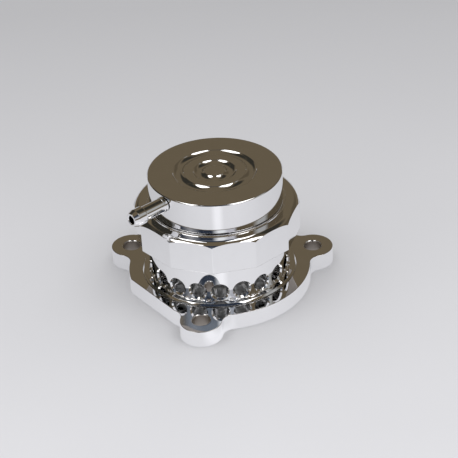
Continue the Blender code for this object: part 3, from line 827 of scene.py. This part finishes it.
def body_shape(look):
    """The turned body. Its flats have columns of their own, and its vents are cut into both walls."""
    shape = bmesh.new()
    edge = look.edge
    bottom, top = body_low.z, body_high.z
    seat = flange_top + BODY_SEAT_GAP
    foot_top = seat + FOOT_HEIGHT
    fillet_top = foot_top + WAIST_FILLET
    rim_reach = VENT_RADIUS + look.vent_countersink * (1.0 + VENT_SOFTNESS)
    wall_low = min(VENT_Z - rim_reach - edge / 2.0, fillet_top)
    wall_high = VENT_Z + rim_reach + 2.0 * edge
    chamber_low = VENT_Z - VENT_RADIUS - 3.0 * edge
    chamber_high = VENT_Z + VENT_RADIUS + 3.0 * edge
    shoulder = top - STEP_HEIGHT
    cylinder_top = cap_low.z - CAP_GAP
    corners = [
        (CHAMBER_RADIUS, chamber_low, 0.0),
        (CHAMBER_RADIUS, bottom, edge),
        (SPIGOT_RADIUS, bottom, edge),
        (SPIGOT_RADIUS, seat, edge),
        (FOOT_RADIUS, seat, edge / 2.0),
        (FOOT_RADIUS - FOOT_HEIGHT, foot_top, edge),
        (WAIST_RADIUS + WAIST_FILLET + edge, foot_top, 0.0),
    ]
    fillet_turn = math.degrees(math.asin((fillet_top - wall_low) / WAIST_FILLET))
    fillet_middle = (WAIST_RADIUS + WAIST_FILLET, fillet_top)
    lower_profile = rounded(corners, closed=False)
    lower_profile += arc(fillet_middle, WAIST_FILLET, 270.0, 180.0 + fillet_turn, WAIST_FILLET_STEPS)
    even_angles = [FIRST_COLUMN + 360.0 * column / COLUMNS for column in range(COLUMNS)]
    facet_angles, reaches = facet_columns(look)
    rows = []
    for radius, height in lower_profile:
        rows.append([shape.verts.new(polar(radius, angle, height)) for angle in even_angles])
    upper_profiles = []
    for reach in reaches:
        corners = [
            (WAIST_RADIUS, wall_high, 0.0),
            (WAIST_RADIUS, FACET_BOTTOM, edge),
            (reach, FACET_BOTTOM, 2.0 * edge),
            *shoulder_round(reach, shoulder),
            (STEP_RADIUS + STEP_HEIGHT, shoulder, edge / 2.0),
            (STEP_RADIUS + STEP_HEIGHT - edge, top, edge / 2.0),
            (CAP_BORE_RADIUS, top, edge),
            (CAP_BORE_RADIUS, cylinder_top, edge),
            (CYLINDER_RADIUS, cylinder_top, edge),
            (CYLINDER_RADIUS, CHAMBER_TOP + CYLINDER_LEAD_IN, edge),
            (CYLINDER_RADIUS + CYLINDER_LEAD_IN, CHAMBER_TOP, edge),
            (CHAMBER_RADIUS, CHAMBER_TOP, edge),
            (CHAMBER_RADIUS, chamber_high, 0.0),
        ]
        upper_profiles.append(rounded(corners, closed=False))
    on_facets = (WAIST_RADIUS + CORNER_RADIUS) / 2.0
    upper_rows = []
    for points in zip(*upper_profiles):
        row = []
        for column, (radius, height) in enumerate(points):
            angles = facet_angles if radius > on_facets else even_angles
            row.append(shape.verts.new(polar(radius, angles[column], height)))
        upper_rows.append(row)
    for group in (rows, upper_rows):
        for low, high in zip(group, group[1:]):
            bridge(shape, low, high)
    outer = (rows[-1], upper_rows[0], waist_surface)
    inner = (rows[0], upper_rows[-1], chamber_surface)
    add_vents(shape, look, outer, inner)
    # The ledge under the flats gets the rough mark: rougher, and darkened with painted shade
    mark_rough_and_shaded(shape, lambda point: abs(point.z - FACET_BOTTOM) < SAME_HEIGHT)
    return shape


# Cap and nipple


def groove(look, middle):
    """One round-bottomed groove in the cap's top, from its outer edge to its inner edge."""
    half, depth = look.groove_half_width, look.groove_depth
    radius = (half**2 + depth**2) / (2.0 * depth)
    spread = math.degrees(math.asin(half / radius))
    centre = (middle, cap_high.z - depth + radius)
    points = arc(centre, radius, 270.0 + spread, 270.0 - spread, GROOVE_STEPS)
    ends = {0: look.edge, GROOVE_STEPS: look.edge}
    return [(across, up, ends.get(step, 0.0)) for step, (across, up) in enumerate(points)]


def cap_shape(look):
    edge = look.edge
    seat = body_high.z + CAP_GAP
    top = cap_high.z
    crown = top - CROWN_THICKNESS
    roof = crown + SPRING_POCKET_DEPTH
    seal_top = seat - CAP_SEAL_PLACE + SEAL_GROOVE_WIDTH / 2.0
    seal_low = seal_top - SEAL_GROOVE_WIDTH
    corners = [
        (0.0, roof, 0.0),
        (SPRING_POCKET_RADIUS, roof, edge),
        (SPRING_POCKET_RADIUS, crown, edge),
        (CAP_HOLLOW_RADIUS, crown, edge),
        (CAP_HOLLOW_RADIUS, cap_low.z, edge),
        (CAP_SPIGOT_RADIUS, cap_low.z, edge),
        (CAP_SPIGOT_RADIUS, seal_low, edge / 2.0),
        (CAP_SEAL_FLOOR, seal_low, edge / 2.0),
        (CAP_SEAL_FLOOR, seal_top, edge / 2.0),
        (CAP_SPIGOT_RADIUS, seal_top, edge / 2.0),
        (CAP_SPIGOT_RADIUS, seat, edge / 2.0),
        (cap_radius, seat, CAP_RIM_ROUNDING * edge),
        (cap_radius, top - CAP_CHAMFER, edge),
        (cap_radius - CAP_CHAMFER, top, edge),
        *groove(look, GROOVE_RADII[0]),
        *groove(look, GROOVE_RADII[1]),
        (0.0, top, 0.0),
    ]
    return turned(rounded(corners, closed=False))


def lay_radial(shape, degrees, height):
    """Turns a shape made along Z so that it points out from the axis at one height."""
    turn = Matrix.Rotation(math.radians(degrees), 4, "Z")
    lay_flat = Matrix.Rotation(math.radians(90.0), 4, "Y")
    shape.transform(Matrix.Translation((0.0, 0.0, height)) @ turn @ lay_flat)
    return shape


def drill(piece, name, shape):
    """Cuts a hole with a hidden tool, and keeps the result."""
    mesh = bpy.data.meshes.new(name)
    bmesh.ops.recalc_face_normals(shape, faces=shape.faces)
    shape.to_mesh(mesh)
    shape.free()
    tool = bpy.data.objects.new(name, mesh)
    bpy.context.scene.collection.objects.link(tool)
    tool.location = valve_axis
    modifier = piece.modifiers.new(name, "BOOLEAN")
    modifier.object = tool
    bpy.context.view_layer.update()
    graph = bpy.context.evaluated_depsgraph_get()
    cut = bpy.data.meshes.new_from_object(piece.evaluated_get(graph))
    piece.modifiers.remove(modifier)
    old, piece.data = piece.data, cut
    bpy.data.meshes.remove(old)
    bpy.data.objects.remove(tool)
    piece.data.set_sharp_from_angle(angle=math.radians(SHARP_ANGLE))


def nipple_drilling():
    """The tapped hole for the nipple's stem, and the air way inward from it."""
    hole_radius = NIPPLE_STEM_RADIUS + NIPPLE_GAP
    hole_bottom = cap_radius - NIPPLE_STEM_LENGTH - NIPPLE_GAP
    beyond = cap_radius + DRILL_BEYOND
    profile = [
        (0.0, CROSS_DRILLING_PLACE),
        (CROSS_DRILLING_RADIUS, CROSS_DRILLING_PLACE),
        (CROSS_DRILLING_RADIUS, hole_bottom),
        (hole_radius, hole_bottom),
        (hole_radius, beyond),
        (0.0, beyond),
    ]
    return lay_radial(turned(profile, HOLE_SEGMENTS), NIPPLE_ANGLE, cap_high.z - NIPPLE_DROP)


def cross_drilling():
    """The drilling from the cap's hollow up to the nipple's air way."""
    low = cap_high.z - CROWN_THICKNESS - DRILL_BEYOND
    high = cap_high.z - NIPPLE_DROP
    profile = [
        (0.0, low),
        (CROSS_DRILLING_RADIUS, low),
        (CROSS_DRILLING_RADIUS, high),
        (0.0, high),
    ]
    shape = turned(profile, HOLE_SEGMENTS)
    place = direction(NIPPLE_ANGLE) * CROSS_DRILLING_PLACE
    shape.transform(Matrix.Translation((place.x, place.y, 0.0)))
    return shape


def nipple_shape(look):
    edge = look.edge
    tip = NIPPLE_REACH
    back = tip - NIPPLE_BARB_LENGTH
    step = NIPPLE_BARB_RADIUS - NIPPLE_SHANK_RADIUS
    corners = [
        (NIPPLE_BORE_RADIUS, -NIPPLE_STEM_LENGTH, 0.0),
        (NIPPLE_STEM_RADIUS, -NIPPLE_STEM_LENGTH, edge),
        (NIPPLE_STEM_RADIUS, NIPPLE_GAP, 0.0),
        (NIPPLE_COLLAR_RADIUS, NIPPLE_GAP, edge / 2.0),
        (NIPPLE_COLLAR_RADIUS, NIPPLE_COLLAR_LENGTH, edge / 2.0),
        (NIPPLE_SHANK_RADIUS, NIPPLE_COLLAR_LENGTH, edge / 2.0),
        (NIPPLE_SHANK_RADIUS, back - step, edge),
        (NIPPLE_BARB_RADIUS, back, edge),
        (NIPPLE_BARB_RADIUS, tip - NIPPLE_BARB_CONE, edge),
        (NIPPLE_TIP_RADIUS, tip, edge),
        (NIPPLE_BORE_RADIUS + 2.0 * edge, tip, edge),
        (NIPPLE_BORE_RADIUS, tip - 2.0 * edge, edge),
    ]
    shape = turned(rounded(corners), HOLE_SEGMENTS)
    shape.transform(Matrix.Translation((0.0, 0.0, cap_radius)))
    return lay_radial(shape, NIPPLE_ANGLE, cap_high.z - NIPPLE_DROP)


# Piston, seals, shim and spring


def piston_shape(look):
    edge = look.edge
    top = piston_high.z
    corners = [
        (0.0, piston_low.z, 0.0),
        (NOSE_GROOVE[0], piston_low.z, edge),
        (NOSE_GROOVE[0], NOSE_GROOVE[2], edge),
        (NOSE_GROOVE[1], NOSE_GROOVE[2], edge),
        (NOSE_GROOVE[1], piston_low.z, edge),
        (NOSE_RADIUS, piston_low.z, edge),
        (NOSE_RADIUS, SKIRT_BOTTOM - SKIRT_STEP, edge),
        (piston_radius, SKIRT_BOTTOM, edge),
        (piston_radius, BAND_GROOVE[0], edge),
        (BAND_FLOOR, BAND_GROOVE[0], edge),
        (BAND_FLOOR, BAND_GROOVE[1], edge),
        (piston_radius, BAND_GROOVE[1], edge),
        (piston_radius, RING_GROOVE[0], edge),
        (RING_FLOOR, RING_GROOVE[0], edge),
        (RING_FLOOR, RING_GROOVE[1], edge),
        (piston_radius, RING_GROOVE[1], edge),
        (piston_radius, top - PISTON_CHAMFER, edge),
        (piston_radius - PISTON_CHAMFER, top, edge),
        (RING_FLOOR - PISTON_WALL, top, edge),
        (RING_FLOOR - PISTON_WALL, PISTON_POCKET_TOP, edge),
        (PISTON_POCKET_RADIUS, PISTON_POCKET_TOP, edge),
        (PISTON_POCKET_RADIUS, PISTON_FLOOR, edge),
        (0.0, PISTON_FLOOR, 0.0),
    ]
    return turned(rounded(corners, closed=False))


def seal_shape(node, section):
    """A round-section ring, placed by the box of its CAD node."""
    low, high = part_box(node)
    reach = (high.x - low.x) / 2.0 - section
    middle = (low.z + high.z) / 2.0
    return turned(arc((reach, middle), section, 0.0, 360.0, SEAL_STEPS)[:-1])


def band_shape(look):
    low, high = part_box("piston_guide_band")
    outer = (high.x - low.x) / 2.0
    inner = BAND_FLOOR + look.edge
    return turned(rectangle(inner, outer, low.z, high.z, look.edge))


def wire_height(turns):
    """Height of the wire's middle after some turns: close coils at both ends."""
    low = spring_low.z - GROUND_DEPTH + WIRE_RADIUS
    high = spring_high.z + GROUND_DEPTH - WIRE_RADIUS
    if turns < END_COILS:
        return low + turns * END_PITCH
    if turns > END_COILS + ACTIVE_COILS:
        return high - (2.0 * END_COILS + ACTIVE_COILS - turns) * END_PITCH
    share = (turns - END_COILS) / ACTIVE_COILS
    return low + END_COILS * END_PITCH + share * (high - low - 2.0 * END_COILS * END_PITCH)


def spring_shape():
    """A helical spring whose end coils are closed and ground flat."""
    shape = bmesh.new()
    radius = spring_outer - WIRE_RADIUS
    turns = 2.0 * END_COILS + ACTIVE_COILS
    steps = round(turns * WIRE_STEPS)
    rings = []
    for step in range(steps + 1):
        turned_by = turns * step / steps
        middle = (radius, wire_height(turned_by))
        row = []
        for across, up in arc(middle, WIRE_RADIUS, 0.0, 360.0, WIRE_SIDES)[:-1]:
            up = min(max(up, spring_low.z), spring_high.z)
            row.append(shape.verts.new(polar(across, 360.0 * turned_by, up)))
        rings.append(row)
    for low, high in zip(rings, rings[1:]):
        bridge(shape, low, high)
    shape.faces.new(rings[0])
    shape.faces.new(rings[-1])
    return shape


# Materials


def fill(tree, node, inputs):
    """Links or sets a node's inputs, given by their names or places."""
    for name, value in inputs.items():
        socket = node.inputs[name]
        if isinstance(value, bpy.types.NodeSocket):
            tree.links.new(value, socket)
        else:
            socket.default_value = (*value, 1.0) if socket.type == "RGBA" else value


def add_node(tree, kind, inputs, **settings):
    """Adds a node with its settings and inputs, and returns its outputs."""
    node = tree.nodes.new(kind)
    for name, value in settings.items():
        setattr(node, name, value)
    fill(tree, node, inputs)
    return node.outputs


def new_material(name):
    """A new material, its node tree and the place of each point on its piece."""
    material = bpy.data.materials.new(name)
    material.use_nodes = True
    tree = material.node_tree
    return material, tree, add_node(tree, "ShaderNodeTexCoord", {})["Object"]


def set_shader(tree, inputs):
    fill(tree, tree.nodes["Principled BSDF"], inputs)


def add_noise(tree, place, scale, detail, stretch=(1.0, 1.0, 1.0)):
    """A noise of so many cells a metre, stretched along each axis."""
    mapped = add_node(tree, "ShaderNodeMapping", {"Vector": place, "Scale": stretch})["Vector"]
    inputs = {"Vector": mapped, "Scale": scale, "Detail": detail}
    return add_node(tree, "ShaderNodeTexNoise", inputs)["Fac"]


def add_range(tree, value, low, high, start=NOISE_LOW, end=NOISE_HIGH):
    """A value, here a noise's unless told, spread from its own limits to two others."""
    inputs = {"Value": value, "From Min": start, "From Max": end, "To Min": low, "To Max": high}
    return add_node(tree, "ShaderNodeMapRange", inputs)["Result"]


def add_mix(tree, share, first, second):
    """The second colour in place of the first, by a share."""
    inputs = {"Factor": share, "A": first, "B": second}
    return add_node(tree, "ShaderNodeMix", inputs, data_type="RGBA")["Result"]


def add_bump(tree, value, strength, distance, under=None):
    """A bump by a value, on top of another where one is given."""
    inputs = {"Height": value, "Strength": strength, "Distance": distance}
    if under:
        inputs["Normal"] = under
    return add_node(tree, "ShaderNodeBump", inputs)["Normal"]


def add_math(tree, operation, *values):
    """One step of arithmetic on sockets or plain numbers."""
    return add_node(tree, "ShaderNodeMath", dict(enumerate(values)), operation=operation)["Value"]


def shade(colour, factor):
    return tuple(channel * factor for channel in colour)


def polished_metal(name, colour):
    """Mirror polish with faint swirls and unevenness, and rougher walls in drilled holes and under the
    flats, darkened with painted shade.
    """
    material, tree, place = new_material(name)
    haze = add_noise(tree, place, *HAZE)
    # Painted shade: marked points take a darker colour as well as more roughness
    rough_and_shaded = add_node(tree, "ShaderNodeAttribute", {}, attribute_name=ROUGH)["Fac"]
    polish = add_mix(tree, haze, shade(colour, 0.96), colour)
    smooth = add_range(tree, haze, *POLISH)
    wavy = add_bump(tree, add_noise(tree, place, *WAVES), *WAVE_BUMP)
    set_shader(tree, {
        "Base Color": add_mix(tree, rough_and_shaded, polish, ROUGH_PAINTED_SHADE_COLOUR),
        "Metallic": 1.0,
        "Roughness": add_math(tree, "MULTIPLY_ADD", rough_and_shaded, ROUGH_EXTRA, smooth),
        "Normal": add_bump(tree, add_noise(tree, place, *SWIRLS), *SWIRL_BUMP, wavy),
    })
    return material


def satin_metal(name, colour, roughness, metallic=1.0):
    """Anodised or plain steel: an even fine grain with no mirror."""
    material, tree, place = new_material(name)
    grain = add_noise(tree, place, *GRAIN)
    marks = add_noise(tree, place, *MARKS)
    set_shader(tree, {
        "Base Color": add_mix(tree, marks, shade(colour, 0.86), colour),
        "Metallic": metallic,
        "Roughness": add_range(tree, grain, roughness - GRAIN_SPREAD, roughness + GRAIN_SPREAD),
        "Normal": add_bump(tree, marks, *MARK_BUMP),
    })
    return material


def moulded(name, colour, roughness):
    """Rubber or plastic: a matte skin with a fine uneven bloom."""
    material, tree, place = new_material(name)
    bloom = add_noise(tree, place, *BLOOM)
    set_shader(tree, {
        "Base Color": add_mix(tree, bloom, colour, shade(colour, 1.25)),
        "Roughness": add_range(tree, bloom, roughness - BLOOM_SPREAD, roughness + BLOOM_SPREAD),
        "Normal": add_bump(tree, add_noise(tree, place, *SKIN), *SKIN_BUMP),
    })
    return material


def metal_for(context):
    made = bpy.data.materials.get("mirror_polish")
    return made or polished_metal("mirror_polish", context.scene.valve_finish.polished)


def rubber_for(context):
    made = bpy.data.materials.get("black_rubber")
    return made or moulded("black_rubber", context.scene.valve_finish.rubber, roughness=0.55)


# Studio


def camera_matrix():
    """The camera's place and turn, from its pitch, yaw and roll."""
    pitch, yaw, roll = (math.radians(value) for value in (CAMERA_PITCH, CAMERA_YAW, CAMERA_ROLL))
    ahead = Vector((math.sin(yaw) * math.cos(pitch), math.cos(yaw) * math.cos(pitch), -math.sin(pitch)))
    level = Vector((math.cos(yaw), -math.sin(yaw), 0.0))
    upward = level.cross(ahead)
    right = math.cos(roll) * level + math.sin(roll) * upward
    up = -math.sin(roll) * level + math.cos(roll) * upward
    turn = Matrix((right, up, -ahead)).transposed().to_4x4()
    return Matrix.Translation(valve_axis + Vector(CAMERA_PLACE)) @ turn


def add_lamp(name, turn, rise, width, height, glow):
    """A soft panel that faces the valve. turn is from the camera's side, to the right."""
    tilt = math.radians(rise)
    aim = Vector(polar(math.cos(tilt), turn - 90.0, math.sin(tilt)))
    light = bpy.data.lights.new(name, "AREA")
    light.shape = "RECTANGLE"
    light.size = width
    light.size_y = height
    light.energy = glow * math.pi * width * height
    lamp = bpy.data.objects.new(name, light)
    bpy.context.scene.collection.objects.link(lamp)
    lamp.location = valve_axis + LOOK_AT + aim * PANEL_DISTANCE
    lamp.rotation_mode = "QUATERNION"
    lamp.rotation_quaternion = aim.to_track_quat("Z", "Y")
    lamp.visible_camera = False


def add_ramp(tree, value, stops):
    """A colour that changes with a value, from its (place, colour) stops."""
    bands = tree.nodes.new("ShaderNodeValToRGB")
    tree.links.new(value, bands.inputs["Fac"])
    ramp = bands.color_ramp
    for place, colour in stops[2:]:
        ramp.elements.new(place)
    for element, (place, colour) in zip(ramp.elements, stops):
        element.position = place
        element.color = (*colour, 1.0)
    return bands.outputs["Color"]


def add_background(tree, colour, strength=1.0):
    inputs = {"Color": colour, "Strength": strength}
    return add_node(tree, "ShaderNodeBackground", inputs)["Background"]


def add_choice(tree, share, first, second):
    """The second shader in place of the first, by a share."""
    return add_node(tree, "ShaderNodeMixShader", {"Fac": share, 1: first, 2: second})["Shader"]


def turn_from_front(tree, axes, centre=(0.0, 0.0)):
    """The turn about a centre, from the camera's side to the right, as a share of a whole turn."""
    along = add_math(tree, "SUBTRACT", axes["X"], centre[0])
    ahead = add_math(tree, "SUBTRACT", centre[1], axes["Y"])
    turn = add_math(tree, "ARCTAN2", along, ahead)
    return add_math(tree, "MULTIPLY_ADD", turn, 0.5 / math.pi, 0.5)


def around(stops):
    """Colour stops by their turn from the camera's side, in degrees to the right, as ramp places."""
    return [((turn + 180.0) / 360.0, colour) for turn, colour in stops]


def room_colour(tree, look):
    """The room as the metal mirrors it: a pale table, brown walls, and darker and paler parts."""
    place = add_node(tree, "ShaderNodeTexCoord", {})["Generated"]
    axes = add_node(tree, "ShaderNodeSeparateXYZ", {"Vector": place})
    turn = turn_from_front(tree, axes)
    wall, dark, shadow, window = look.room_wall, look.room_dark, look.room_shade, look.window
    dim_wall = shade(wall, 0.70)
    front = (
        (-180.0, wall), (-166.0, wall), (-153.0, dark), (-85.0, dark),
        (-76.0, WINDOW_EDGE), (-64.0, shadow), (-47.0, WINDOW_EDGE), (-30.0, shadow),
        (-10.0, shadow), (1.0, window), (9.0, window), (17.0, WINDOW_SIDE), (27.0, WINDOW_SIDE),
        (33.0, shade(wall, 0.75)), (62.0, shade(wall, 0.85)), (74.0, NEUTRAL_WALL),
        (88.0, NEUTRAL_WALL), (98.0, dim_wall), (155.0, dim_wall), (166.0, wall), (180.0, wall),
    )
    middle = (
        (-180.0, wall), (-170.0, wall), (-158.0, dark), (-100.0, dark), (-88.0, wall),
        (-72.0, wall), (-58.0, UPPER_SHADE), (-9.0, UPPER_SHADE), (-2.0, window), (7.0, window),
        (14.0, UPPER_SHADE), (32.0, UPPER_SHADE), (46.0, wall), (66.0, wall),
        (76.0, NEUTRAL_WALL), (92.0, NEUTRAL_WALL), (102.0, wall), (180.0, wall),
    )
    high = (
        (-180.0, wall), (-170.0, wall), (-158.0, dark), (-110.0, dark), (-98.0, wall),
        (-46.0, wall), (-36.0, shadow), (36.0, shadow), (46.0, wall),
        (98.0, wall), (110.0, dark), (164.0, dark), (174.0, wall), (180.0, wall),
    )
    stops = ((0.0, look.floor), (TABLE_EDGE, look.floor), (WALL_FOOT, wall), (1.0, wall))
    room = add_ramp(tree, axes["Z"], stops)
    for stops, heights in ((front, FRONT_HEIGHTS), (middle, MIDDLE_HEIGHTS), (high, HIGH_HEIGHTS)):
        shares = zip((0.0, *heights, 1.0), (BLACK, BLACK, WHITE, WHITE, BLACK, BLACK))
        reach = add_ramp(tree, axes["Z"], list(shares))
        room = add_mix(tree, reach, room, add_ramp(tree, turn, around(stops)))
    return room


def build_world(look):
    """A dark room for the metal to mirror, and plain even light for everything else."""
    world = bpy.data.worlds.new("room")
    bpy.context.scene.world = world
    world.use_nodes = True
    tree = world.node_tree
    tree.nodes.clear()
    rays = add_node(tree, "ShaderNodeLightPath", {})
    even = add_background(tree, WHITE, look.plain_light)
    room = add_background(tree, room_colour(tree, look))
    plain = add_background(tree, look.floor)
    mirrored = add_math(tree, "MAXIMUM", rays["Is Glossy Ray"], rays["Is Transmission Ray"])
    seen = add_choice(tree, mirrored, even, room)
    surface = add_choice(tree, rays["Is Camera Ray"], seen, plain)
    add_node(tree, "ShaderNodeOutputWorld", {"Surface": surface})


def floor_material(look):
    """The table, darkened far from the camera with painted shade, and with a painted glow that only the
    metal sees.
    """
    material, tree, place = new_material("pale_table")
    axes = add_node(tree, "ShaderNodeSeparateXYZ", {"Vector": place})
    pale, paler, far = (shade(look.floor, factor) for factor in FLOOR_TONES_AND_PAINTED_FAR_SHADE)
    cloud = add_mix(tree, add_noise(tree, place, *CLOUDS), pale, paler)
    # Painted shade: the table's colour darkens towards the back
    depth = add_range(tree, axes["Y"], 0.0, 1.0, PAINTED_SHADE_START, PAINTED_SHADE_FULL)
    colour = add_mix(tree, depth, cloud, far)
    set_shader(tree, {"Base Color": colour, "Roughness": 0.6})
    # Painted light that only the metal sees: the table glows by its turn round the valve, with a painted
    # streak in front, painted darker sides and a painted pool of light beside the valve
    plain, painted_streak = look.painted_table_glow, look.painted_streak
    painted_greys = around((angle, (grey, grey, grey)) for angle, grey in PAINTED_TABLE_LIGHT)
    painted_light_by_turn = add_ramp(tree, turn_from_front(tree, axes, valve_axis), painted_greys)
    glow = add_math(tree, "MULTIPLY_ADD", painted_light_by_turn, plain * 2.0 * painted_streak, plain * (1.0 - painted_streak))
    inputs = {0: place, 1: valve_axis}
    away = add_node(tree, "ShaderNodeVectorMath", inputs, operation="DISTANCE")["Value"]
    beside = add_range(tree, away, 0.0, PAINTED_POOL_BESIDE * plain, PAINTED_POOL_END, PAINTED_POOL_START)
    strength = add_math(tree, "ADD", glow, beside)
    painted_glow_shader = add_node(tree, "ShaderNodeEmission", {"Color": colour, "Strength": strength})
    mirrored = add_node(tree, "ShaderNodeLightPath", {})["Is Glossy Ray"]
    share = add_math(tree, "MULTIPLY", mirrored, PAINTED_GLOW_SHARE)
    plain_floor = tree.nodes["Principled BSDF"].outputs["BSDF"]
    surface = add_choice(tree, share, plain_floor, painted_glow_shader["Emission"])
    fill(tree, tree.nodes["Material Output"], {"Surface": surface})
    return material


# Operators


def add_polished(context, name, shape, node, **tools):
    """A mirror-polished piece of the housing, cut by the drilling tools given by name."""
    piece = add_piece(name, shape, node, "housing", metal_for(context))
    for tool_name, tool in tools.items():
        drill(piece, tool_name, tool)
    even_normals(piece)


def add_ring(context, carrier, body):
    """The O-ring that the piston, the cap, the body or the flange carries."""
    node = f"{carrier}_o_ring"
    shape = seal_shape(node, SEAL_SECTIONS[carrier])
    add_piece(f"{carrier}_ring", shape, node, body, rubber_for(context))


class VALVE_OT_camera(bpy.types.Operator):
    """Place the camera in front of the valve, looking down on it"""

    bl_idname = "valve.camera"
    bl_label = "Camera"

    def execute(self, context):
        lens = bpy.data.cameras.new("camera")
        lens.lens = CAMERA_LENS
        lens.sensor_width = SENSOR_WIDTH
        camera = bpy.data.objects.new("camera", lens)
        context.scene.collection.objects.link(camera)
        camera.matrix_world = camera_matrix()
        context.scene.camera = camera
        return {"FINISHED"}


class VALVE_OT_studio(bpy.types.Operator):
    """Lay the pale floor and set up the room and its soft panels"""

    bl_idname = "valve.studio"
    bl_label = "Studio"

    def execute(self, context):
        look = context.scene.studio_look
        mesh = bpy.data.meshes.new("table")
        reach = FLOOR_REACH
        corners = [(-reach, -reach, 0.0), (reach, -reach, 0.0), (reach, reach, 0.0), (-reach, reach, 0.0)]
        mesh.from_pydata(corners, [], [(0, 1, 2, 3)])
        mesh.materials.append(floor_material(look))
        table = bpy.data.objects.new("table", mesh)
        context.scene.collection.objects.link(table)
        build_world(look)
        for name, (turn, width) in (("left_panel", LEFT_PANEL), ("right_panel", RIGHT_PANEL)):
            add_lamp(name, turn, PANEL_RISE, width, PANEL_HEIGHT, look.panel_glow)
        context.scene.view_settings.view_transform = "Standard"
        return {"FINISHED"}


class VALVE_OT_base_flange(bpy.types.Operator):
    """Build the three-eared flange with its port, seat and grooves"""

    bl_idname = "valve.base_flange"
    bl_label = "Base Flange"

    def execute(self, context):
        add_polished(context, "flange_plate", flange_shape(context.scene.valve_shape), "base_flange")
        return {"FINISHED"}


class VALVE_OT_valve_body(bpy.types.Operator):
    """Build the vented body with its twelve flats"""

    bl_idname = "valve.valve_body"
    bl_label = "Valve Body"

    def execute(self, context):
        add_polished(context, "vented_body", body_shape(context.scene.valve_shape), "valve_body")
        return {"FINISHED"}


class VALVE_OT_top_cap(bpy.types.Operator):
    """Build the grooved cap and drill it for the nipple"""

    bl_idname = "valve.top_cap"
    bl_label = "Top Cap"

    def execute(self, context):
        shape = cap_shape(context.scene.valve_shape)
        tools = {"nipple_drill": nipple_drilling(), "cross_drill": cross_drilling()}
        add_polished(context, "grooved_cap", shape, "top_cap", **tools)
        return {"FINISHED"}


class VALVE_OT_hose_nipple(bpy.types.Operator):
    """Build the barbed nipple for the vacuum hose"""

    bl_idname = "valve.hose_nipple"
    bl_label = "Hose Nipple"

    def execute(self, context):
        add_polished(context, "barbed_nipple", nipple_shape(context.scene.valve_shape), "hose_nipple")
        return {"FINISHED"}


class VALVE_OT_piston(bpy.types.Operator):
    """Build the piston with its nose seal, guide band and ring"""

    bl_idname = "valve.piston"
    bl_label = "Piston"

    def execute(self, context):
        look, finish = context.scene.valve_shape, context.scene.valve_finish
        group = "piston_group"
        anodised = satin_metal("clear_anodising", finish.anodised, roughness=0.14, metallic=0.35)
        cup = add_piece("piston_cup", piston_shape(look), "piston", group, anodised)
        even_normals(cup)
        seat = turned(rectangle(*NOSE_SEAL, look.edge))
        add_piece("nose_ring", seat, "nose_seal", group, rubber_for(context))
        plastic = moulded("filled_plastic", finish.band, roughness=0.45)
        band = band_shape(look)
        add_piece("guide_band", band, "piston_guide_band", group, plastic)
        add_ring(context, "piston", group)
        return {"FINISHED"}


class VALVE_OT_seals(bpy.types.Operator):
    """Build the rings that seal the cap, the body and the flange"""

    bl_idname = "valve.seals"
    bl_label = "Seals"

    def execute(self, context):
        for carrier in ("cap", "body", "flange"):
            add_ring(context, carrier, "housing")
        return {"FINISHED"}


class VALVE_OT_spring(bpy.types.Operator):
    """Build the coil spring and its shim"""

    bl_idname = "valve.spring"
    bl_label = "Spring and Shim"

    def execute(self, context):
        look, steel = context.scene.valve_shape, context.scene.valve_finish.steel
        wire = satin_metal("oiled_wire", shade(steel, 0.84), roughness=0.30)
        coil = add_piece("coil_spring", spring_shape(), "spring", "housing", wire)
        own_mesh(coil)
        washer = satin_metal("ground_shim", steel, roughness=0.25)
        shim = turned(rectangle(shim_radius - SHIM_WIDTH, shim_radius, shim_low.z, shim_high.z, look.edge))
        add_piece("shim_washer", shim, "preload_shim", "housing", washer)
        return {"FINISHED"}


class VALVE_PT_dressing(bpy.types.Panel):
    """Lists the steps that dress the valve"""

    bl_label = "Blow Off Valve"
    bl_space_type = "VIEW_3D"
    bl_region_type = "UI"
    bl_category = "Valve"

    def draw(self, context):
        for operator in OPERATORS:
            self.layout.operator(operator.bl_idname)
        for name in ("valve_shape", "valve_finish", "studio_look"):
            settings = getattr(context.scene, name)
            for prop in settings.bl_rna.properties:
                if prop.identifier not in ("rna_type", "name"):
                    self.layout.prop(settings, prop.identifier)


SETTINGS = {"valve_shape": ValveShape, "valve_finish": ValveFinish, "studio_look": StudioLook}
OPERATORS = (
    VALVE_OT_camera,
    VALVE_OT_studio,
    VALVE_OT_base_flange,
    VALVE_OT_valve_body,
    VALVE_OT_top_cap,
    VALVE_OT_hose_nipple,
    VALVE_OT_piston,
    VALVE_OT_seals,
    VALVE_OT_spring,
)


def register():
    for cls in (*SETTINGS.values(), *OPERATORS, VALVE_PT_dressing):
        bpy.utils.register_class(cls)
    for name, cls in SETTINGS.items():
        setattr(bpy.types.Scene, name, PointerProperty(type=cls))


def unregister():
    for name in SETTINGS:
        delattr(bpy.types.Scene, name)
    for cls in reversed((*SETTINGS.values(), *OPERATORS, VALVE_PT_dressing)):
        bpy.utils.unregister_class(cls)


def main():
    register()
    bpy.ops.valve.camera()
    bpy.ops.valve.studio()
    bpy.ops.valve.base_flange()
    bpy.ops.valve.valve_body()
    bpy.ops.valve.top_cap()
    bpy.ops.valve.hose_nipple()
    bpy.ops.valve.piston()
    bpy.ops.valve.seals()
    bpy.ops.valve.spring()


if __name__ == "__main__":
    main()
